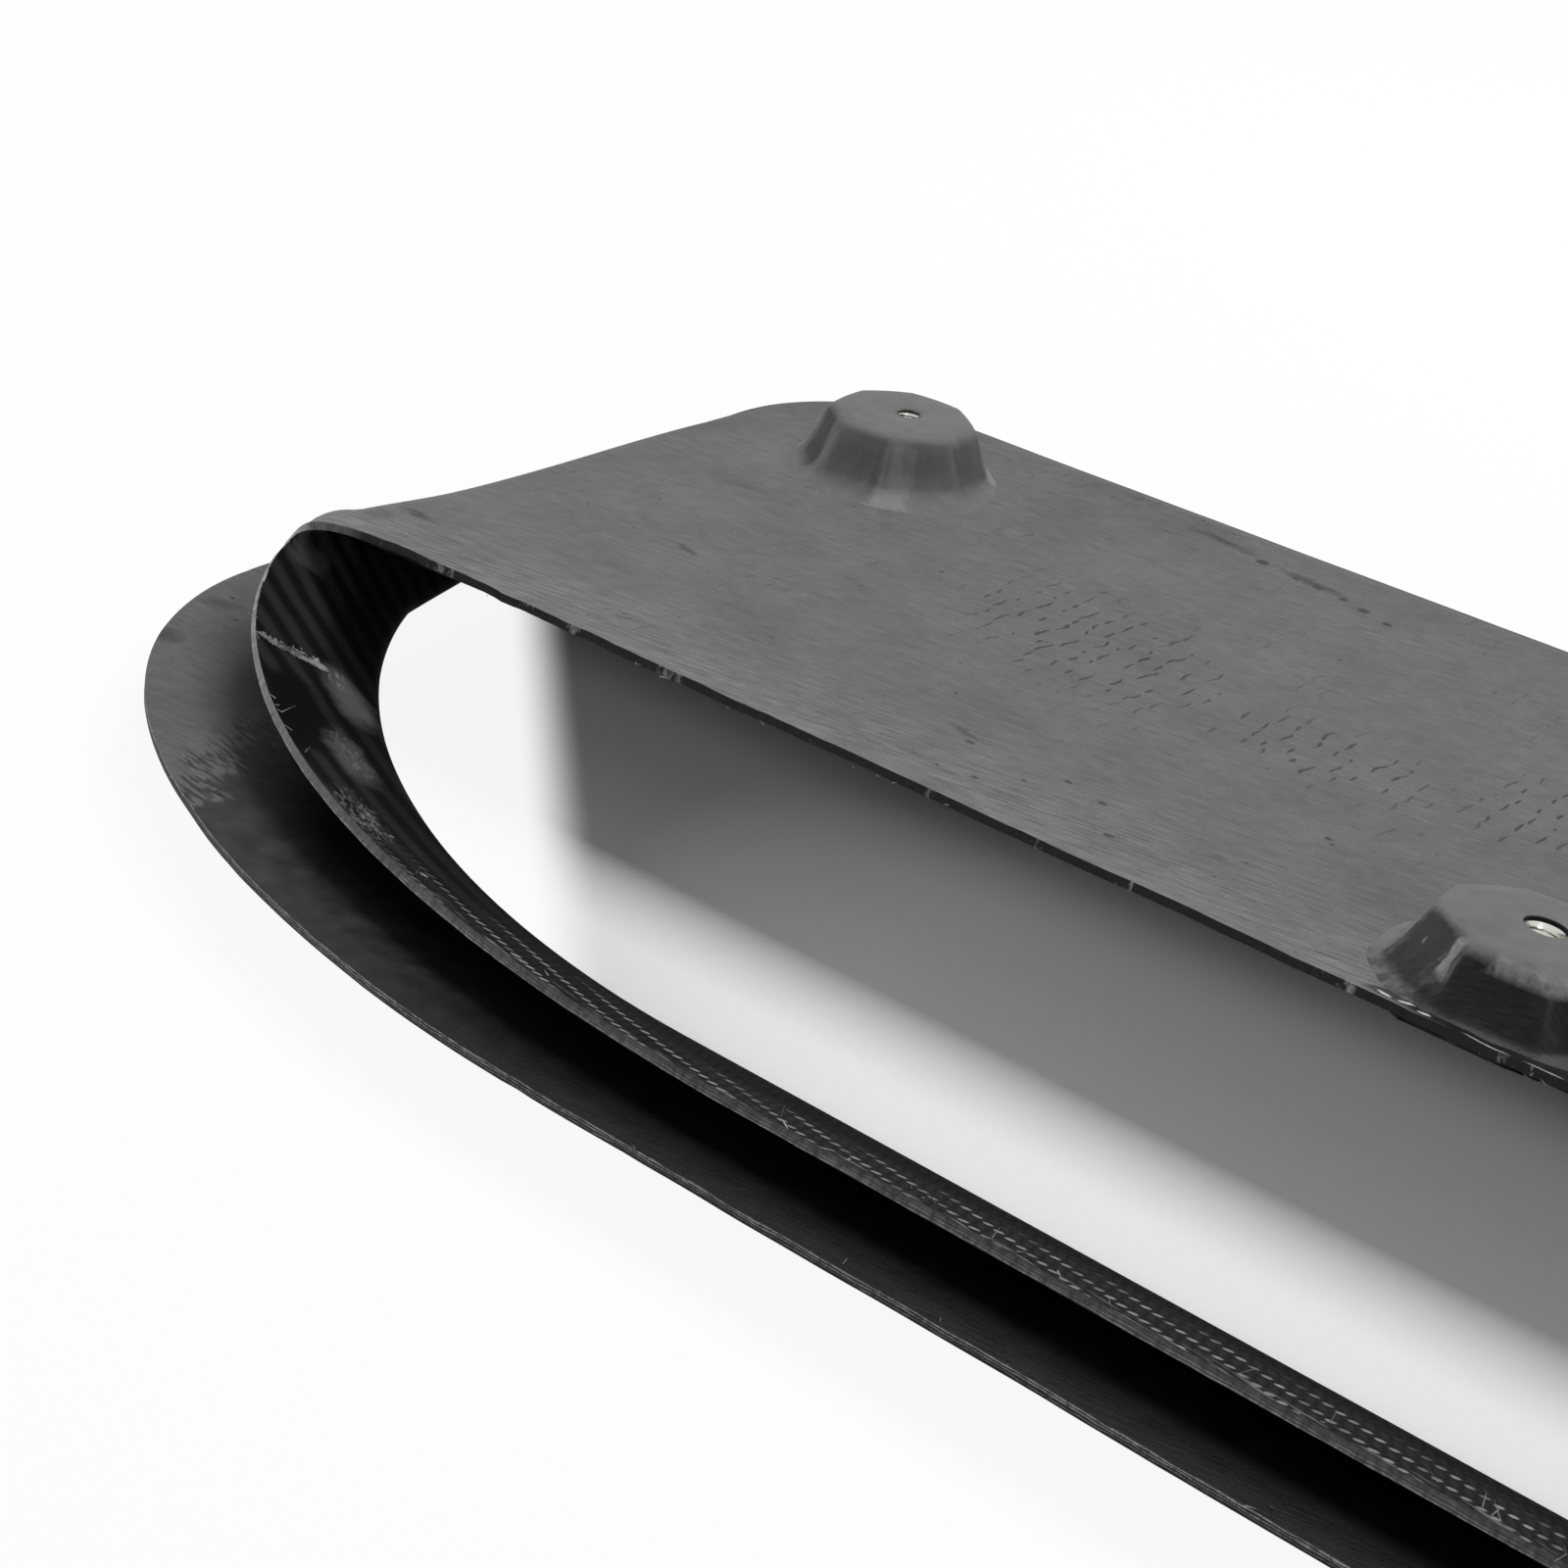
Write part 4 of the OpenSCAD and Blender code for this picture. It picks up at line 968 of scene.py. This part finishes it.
    # dry rough resin under the top's near edge, and a painted highlight on the ridge where the wet coat ends at the
    # left
    dry = put(tree, "Math", [facing(-58, 36, 6), between(0.76, 0.95, 0.05)], operation="MULTIPLY")
    ridge = put(tree, "Math", [facing(-118, 3.5, 2.5), between(0.42, 0.95, 0.05)], operation="MULTIPLY")
    dry_scuff_and_glint = put(tree, "Math", [put(tree, "Math", [dry, ridge], operation="MAXIMUM"),
                               put(tree, "MapRange", [patchy, 0.35, 0.6, 0.35, 1.0])], operation="MULTIPLY")
    dry_scuff_and_glint = put(tree, "Math", [dry_scuff_and_glint, middle], operation="MULTIPLY")
    colour = put(tree, "Mix", {"Factor": dry_scuff_and_glint, 6: colour, 7: tone("#a2a2a2")}, out=2, data_type="RGBA")
    deep = put(tree, "Mix", {"Factor": hole, 6: colour, 7: tone("#101010")}, out=2, data_type="RGBA")
    tree.links.new(deep, shader.inputs["Base Color"])
    gloss = put(tree, "Math", [wet, put(tree, "Math", [1.0, dry_scuff_and_glint], operation="SUBTRACT")], operation="MULTIPLY")
    tree.links.new(put(tree, "Mix", {"Factor": gloss, 2: 0.6, 3: 0.36}), shader.inputs["Roughness"])
    height = put(tree, "Math", [put(tree, "Math", [mottle, 0.8], operation="MULTIPLY"),
                                put(tree, "Math", [grain, 0.15], operation="MULTIPLY")], operation="ADD")
    height = put(tree, "Math", [height, put(tree, "Math", [dry_scuff_and_glint, patchy], operation="MULTIPLY")], operation="ADD")
    bump = put(tree, "Bump", {"Strength": 0.5, "Distance": 0.0006, "Height": height}, out="Normal")
    tree.links.new(bump, shader.inputs["Normal"])
    shader.inputs["IOR"].default_value = 1.5
    shader.inputs["Specular IOR Level"].default_value = 0.12
    return material


def loose_fibre():
    """Burrs and loose fibre ends with dried resin on them: pale and a little shiny."""
    material, tree, shader = surface("loose_resin_fibre")
    lay = layup(tree)[0]
    spread = put(tree, "TexNoise", {"Vector": lay, "Scale": 0.3, "Detail": 2.0})
    colour = put(tree, "Mix", {"Factor": put(tree, "MapRange", [spread, 0.35, 0.65, 0.0, 1.0]),
                               6: tone("#5a5a5a"), 7: tone("#c4c4c4")}, out=2, data_type="RGBA")
    tree.links.new(colour, shader.inputs["Base Color"])
    shader.inputs["Roughness"].default_value = 0.4
    return material


def turned_steel():
    """Zinc-plated free-cutting steel, turned: bright rings, slightly worn."""
    material, tree, shader = surface("zinc_plated_turned_steel")
    here = put(tree, "TexCoord", out="Object")
    worn = put(tree, "TexNoise", {"Vector": here, "Scale": 900.0, "Detail": 3.0})
    colour = put(tree, "Mix", {"Factor": worn, 6: tone("#c4c2bb"), 7: tone("#d9d8d2")}, out=2, data_type="RGBA")
    tree.links.new(colour, shader.inputs["Base Color"])
    tree.links.new(put(tree, "MapRange", [worn, 0.3, 0.7, 0.2, 0.34]), shader.inputs["Roughness"])
    bump = put(tree, "Bump", {"Strength": 0.2, "Distance": 0.00005, "Height": worn}, out="Normal")
    tree.links.new(bump, shader.inputs["Normal"])
    shader.inputs["Metallic"].default_value = 1.0
    return material


# Where the layup shows its faults, and where dark reflections and highlights are painted, in the cloth's own
# millimetres: centre, half-size, turn in degrees, strength
SLANT = -0.04
HATCH = -3
STREAK_ZONES = [((-140, 55), (62, 46), -20, 0.95), ((-75, 45), (48, 30), 0, 0.9), ((-250, 20), (40, 40), 0, 0.3),
                ((-28, 62), (22, 40), 0, 0.95), ((70, 60), (80, 45), 10, 0.6), ((190, 30), (60, 40), 0, 0.4)]
STAINS = [((-283, -37), (8, 3), -10, 0.5), ((-287, -46), (6, 9), 0, 0.25), ((-236, 10), (7, 2.2), -12, 0.45),
          ((-316, -104), (6, 5), 0, 0.4), ((-323, -84), (8, 4), 30, 0.35), ((-258, 62), (10, 4), 20, 0.22),
          ((-152, 146), (16, 3), -8, 0.5), ((-122, 141), (18, 3), -8, 0.5), ((120, 140), (16, 3), 5, 0.4),
          ((150, -20), (9, 3), 10, 0.3), ((240, 30), (8, 4), 40, 0.3), ((-132, -22), (8, 1.6), -8, 0.4)]
PITS = [((-138, 142), 2.6), ((-127, 140), 1.8), ((-120, 139.5), 2.4), ((-112, 138), 1.6), ((-105, 135.8), 2.2),
        ((-97, 133), 1.7), ((-117, -42), 1.1), ((-110, -33), 0.9), ((-104, -24), 1.2), ((-94, -27), 1.5),
        ((-85, -41), 1.6), ((-55, 4), 1.3), ((-128, -26), 1.4), ((-190, 60), 1.1), ((60, -20), 1.2), ((96, -38), 1.0)]
PITS = [(centre, (r, r * 0.8), 0, 0.6) for centre, r in PITS]
# Where the cut shows pale fibre ends: share of the thickness, half-width, strength, and whether all round
PALE_PLIES = [(0.9, 0.13, 1.0, True), (0.6, 0.1, 0.8, False), (0.3, 0.08, 0.5, False)]
RUNS = [((7, -55.5), (27, 7.5), 0, 1.0), ((-14, -55), (9, 4), 20, 0.8)]
SPLASHES = [((-17, -57.2), (2.2, 0.9), -25, 1.0), ((-12.6, -56.2), (2.6, 0.9), 42, 1.0),
            ((-8.6, -58.2), (1.6, 0.9), 0, 1.0), ((4, -59.6), (5.5, 0.5), -2, 0.8), ((15, -59.6), (4.5, 0.5), 2, 0.7),
            ((-11.5, -54.0), (1.2, 0.5), 0, 0.7)]
SCRAPED = [((-256.5, -91), (13, 5.5), -31, 1.0), ((-234, -110), (14, 5), -27, 0.8),
           ((-291, -67), (8.5, 1.9), 103, 0.45)]
# places on the end wall's inner side painted near black as a dark reflection
DARK_REFLECTIONS = [((-247, -112), (21, 6.5), -38, 1.0), ((-150, -138), (60, 9), -12, 0.5)]
WISPS = [((-235, -109), (13, 5), -27, 0.4), ((-210, -129), (16, 6), -27, 1.0), ((-262, -89), (5, 3.0), -40, 0.8),
         ((-176, -141), (10, 2.5), -8, 0.6)]
# the pale streak along the frayed ridge: partly its fibres, partly a painted highlight
FRAYED = [((-270, -99.2), (1.8, 0.6), 25, 0.7), ((-268, -97.4), (2.2, 0.9), 50, 0.9),
          ((-266, -94.4), (3.0, 1.2), 62, 1.0), ((-264.5, -91), (2.6, 1.6), 70, 0.9)]
# A boss's sides painted darker and paler as shade and light fall on them: direction, half-spread and softness in
# degrees, share of the height, gain
SIDE_SHADE_AND_LIGHT = [(-135, 10, 14, 0.1, 0.95, 0.3), (-92, 12, 12, 0.2, 0.7, 0.85), (-60, 7, 8, 0.0, 0.9, 1.5),
              (-36, 10, 12, 0.1, 0.85, 1.1), (4, 14, 12, 0.1, 0.86, 0.65), (33, 6, 8, 0.0, 0.8, 1.3)]
BUBBLES = [((-188.6, -133.2), (1.0, 0.7), 0, 1.0), ((-204, -127), (0.6, 0.5), 0, 0.7)]

bag = bag_laminate()
twill_face = carbon_twill(False)
keyed_face = carbon_twill(True)
edge_face = cut_edge()
boss_face = boss_laminate()
hair_face = loose_fibre()
steel = turned_steel()

bm = build_moulding()
for n, place in enumerate(BOSSES):
    add_boss(bm, place, 10.0 + 12 * n)
add_burrs(bm)
add_frayed_ridge(bm)
finishes = {BAG_FACE: bag, TWILL_FACE: twill_face, EDGE_FACE: edge_face, BOSS_FACE: boss_face, HAIR_FACE: hair_face,
            KEYED_FACE: keyed_face}
moulding = finish_piece(bm, "moulded_scoop", [finishes[slot] for slot in sorted(finishes)])
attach(moulding, "root")
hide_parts("scoop_shell")

bm = bmesh.new()
for place in BOSSES:
    build_insert(bm, place)
bmesh.ops.recalc_face_normals(bm, faces=bm.faces)
bushes = finish_piece(bm, "threaded_bushes", [steel], 30)
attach(bushes, "root")
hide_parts("threaded_inserts")


# ---------------------------------------------------------------- floor and light
def as_background(tree):
    """1 for a ray that looks at the background, straight or by way of metal or glass, and 0 for one that lights."""
    looks = None
    for ray in ("Is Camera Ray", "Is Glossy Ray", "Is Transmission Ray"):
        one = put(tree, "LightPath", out=ray)
        looks = one if looks is None else put(tree, "Math", [looks, one], operation="MAXIMUM")
    return looks


def white_floor():
    """Seamless white photo paper: matte, with a trace of fibre. Outside the scoop it is burnt out to near white, and
    under the raised ends of the flange a pool of light is painted on it.
    """
    material, tree, shader = surface("white_photo_paper")
    here = put(tree, "TexCoord", out="Object")
    fibre = put(tree, "TexNoise", {"Vector": here, "Scale": 400.0, "Detail": 2.0})
    colour = put(tree, "Mix", {"Factor": fibre, 6: tone("#f3f3f3"), 7: tone("#f7f7f7")}, out=2, data_type="RGBA")
    tree.links.new(colour, shader.inputs["Base Color"])
    shader.inputs["Roughness"].default_value = 0.9
    shader.inputs["Specular IOR Level"].default_value = 0.1
    where = tree.nodes.new("ShaderNodeSeparateXYZ")
    tree.links.new(here, where.inputs[0])
    # how far outside the line where the lip touches the floor
    aside = put(tree, "Math", [put(tree, "Math", [where.outputs[0]], operation="ABSOLUTE"), -NOSE_X * MM],
                operation="SUBTRACT")
    aside = put(tree, "Math", [put(tree, "Math", [aside, 0.0], operation="MAXIMUM"), NOSE_SWEEP_W * MM],
                operation="DIVIDE")
    fore = put(tree, "Math", [(NOSE_Y + NOSE_SWEEP_D) * MM, where.outputs[1]], operation="SUBTRACT")
    fore = put(tree, "Math", [put(tree, "Math", [fore, 0.0], operation="MAXIMUM"), NOSE_SWEEP_D * MM],
               operation="DIVIDE")
    far = put(tree, "VectorMath", [put(tree, "CombineXYZ", [aside, fore, 0.0])], out="Value", operation="LENGTH")
    outside = put(tree, "MapRange", [far, 0.985, 1.015, 0.0, 1.0])
    behind = put(tree, "MapRange", [where.outputs[1], 0.15, 0.17, 0.0, 1.0])
    outside = put(tree, "Math", [outside, behind], operation="MAXIMUM")
    # painted light: a pool of light painted on the floor under the raised ends of the flange, up to a slanted line
    folded = put(tree, "CombineXYZ", [put(tree, "Math", [where.outputs[0]], operation="ABSOLUTE"), where.outputs[1], 0.0])
    reach = put(tree, "VectorMath", [folded, (0.717, -0.697, 0.0)], out="Value", operation="DOT_PRODUCT")
    under = put(tree, "MapRange", [reach, 0.1885, 0.2045, 0.0, 0.97], interpolation_type="SMOOTHSTEP")
    outside = put(tree, "Math", [outside, under], operation="MAXIMUM")
    share = put(tree, "Math", [put(tree, "Math", [outside, as_background(tree)], operation="MULTIPLY"), 0.92],
                operation="MULTIPLY")
    glow = put(tree, "Emission", {"Color": tone("#ffffff"), "Strength": 1.0})
    both = put(tree, "MixShader", [share, shader.outputs[0], glow])
    tree.links.new(both, tree.nodes["Material Output"].inputs["Surface"])
    return material


bm = bmesh.new()
bmesh.ops.create_grid(bm, x_segments=4, y_segments=4, size=8.0)
floor = finish_piece(bm, "paper_floor", [white_floor()])


def soft_light(name, azimuth, elevation, distance, width, height, power):
    lamp = bpy.data.lights.new(name, "AREA")
    lamp.shape = "RECTANGLE"
    lamp.size, lamp.size_y = width, height
    lamp.energy = power
    rig = bpy.data.objects.new(name, lamp)
    a, e = math.radians(azimuth), math.radians(elevation)
    way = Vector((math.cos(e) * math.cos(a), math.cos(e) * math.sin(a), math.sin(e)))
    rig.location = way * distance
    rig.rotation_euler = way.to_track_quat("Z", "Y").to_euler()
    bpy.context.scene.collection.objects.link(rig)
    return rig


soft_light("overhead_softbox", 91, 58, 1.7, 1.7, 0.7, 26.5)
soft_light("left_softbox", 195, 12, 1.3, 0.2, 0.12, 5)
soft_light("right_softbox", 318, 24, 1.5, 0.4, 0.4, 5)

world = bpy.data.worlds.new("studio")
world.use_nodes = True
bpy.context.scene.world = world
backdrop = world.node_tree.nodes["Background"]
backdrop.inputs["Color"].default_value = tone("#ffffff")
# a dim even light on the scoop, and white where the background itself is looked at
world.node_tree.links.new(put(world.node_tree, "Mix", {"Factor": as_background(world.node_tree), 2: 0.095, 3: 1.0}),
                          backdrop.inputs["Strength"])
bpy.context.scene.view_settings.view_transform = "Standard"
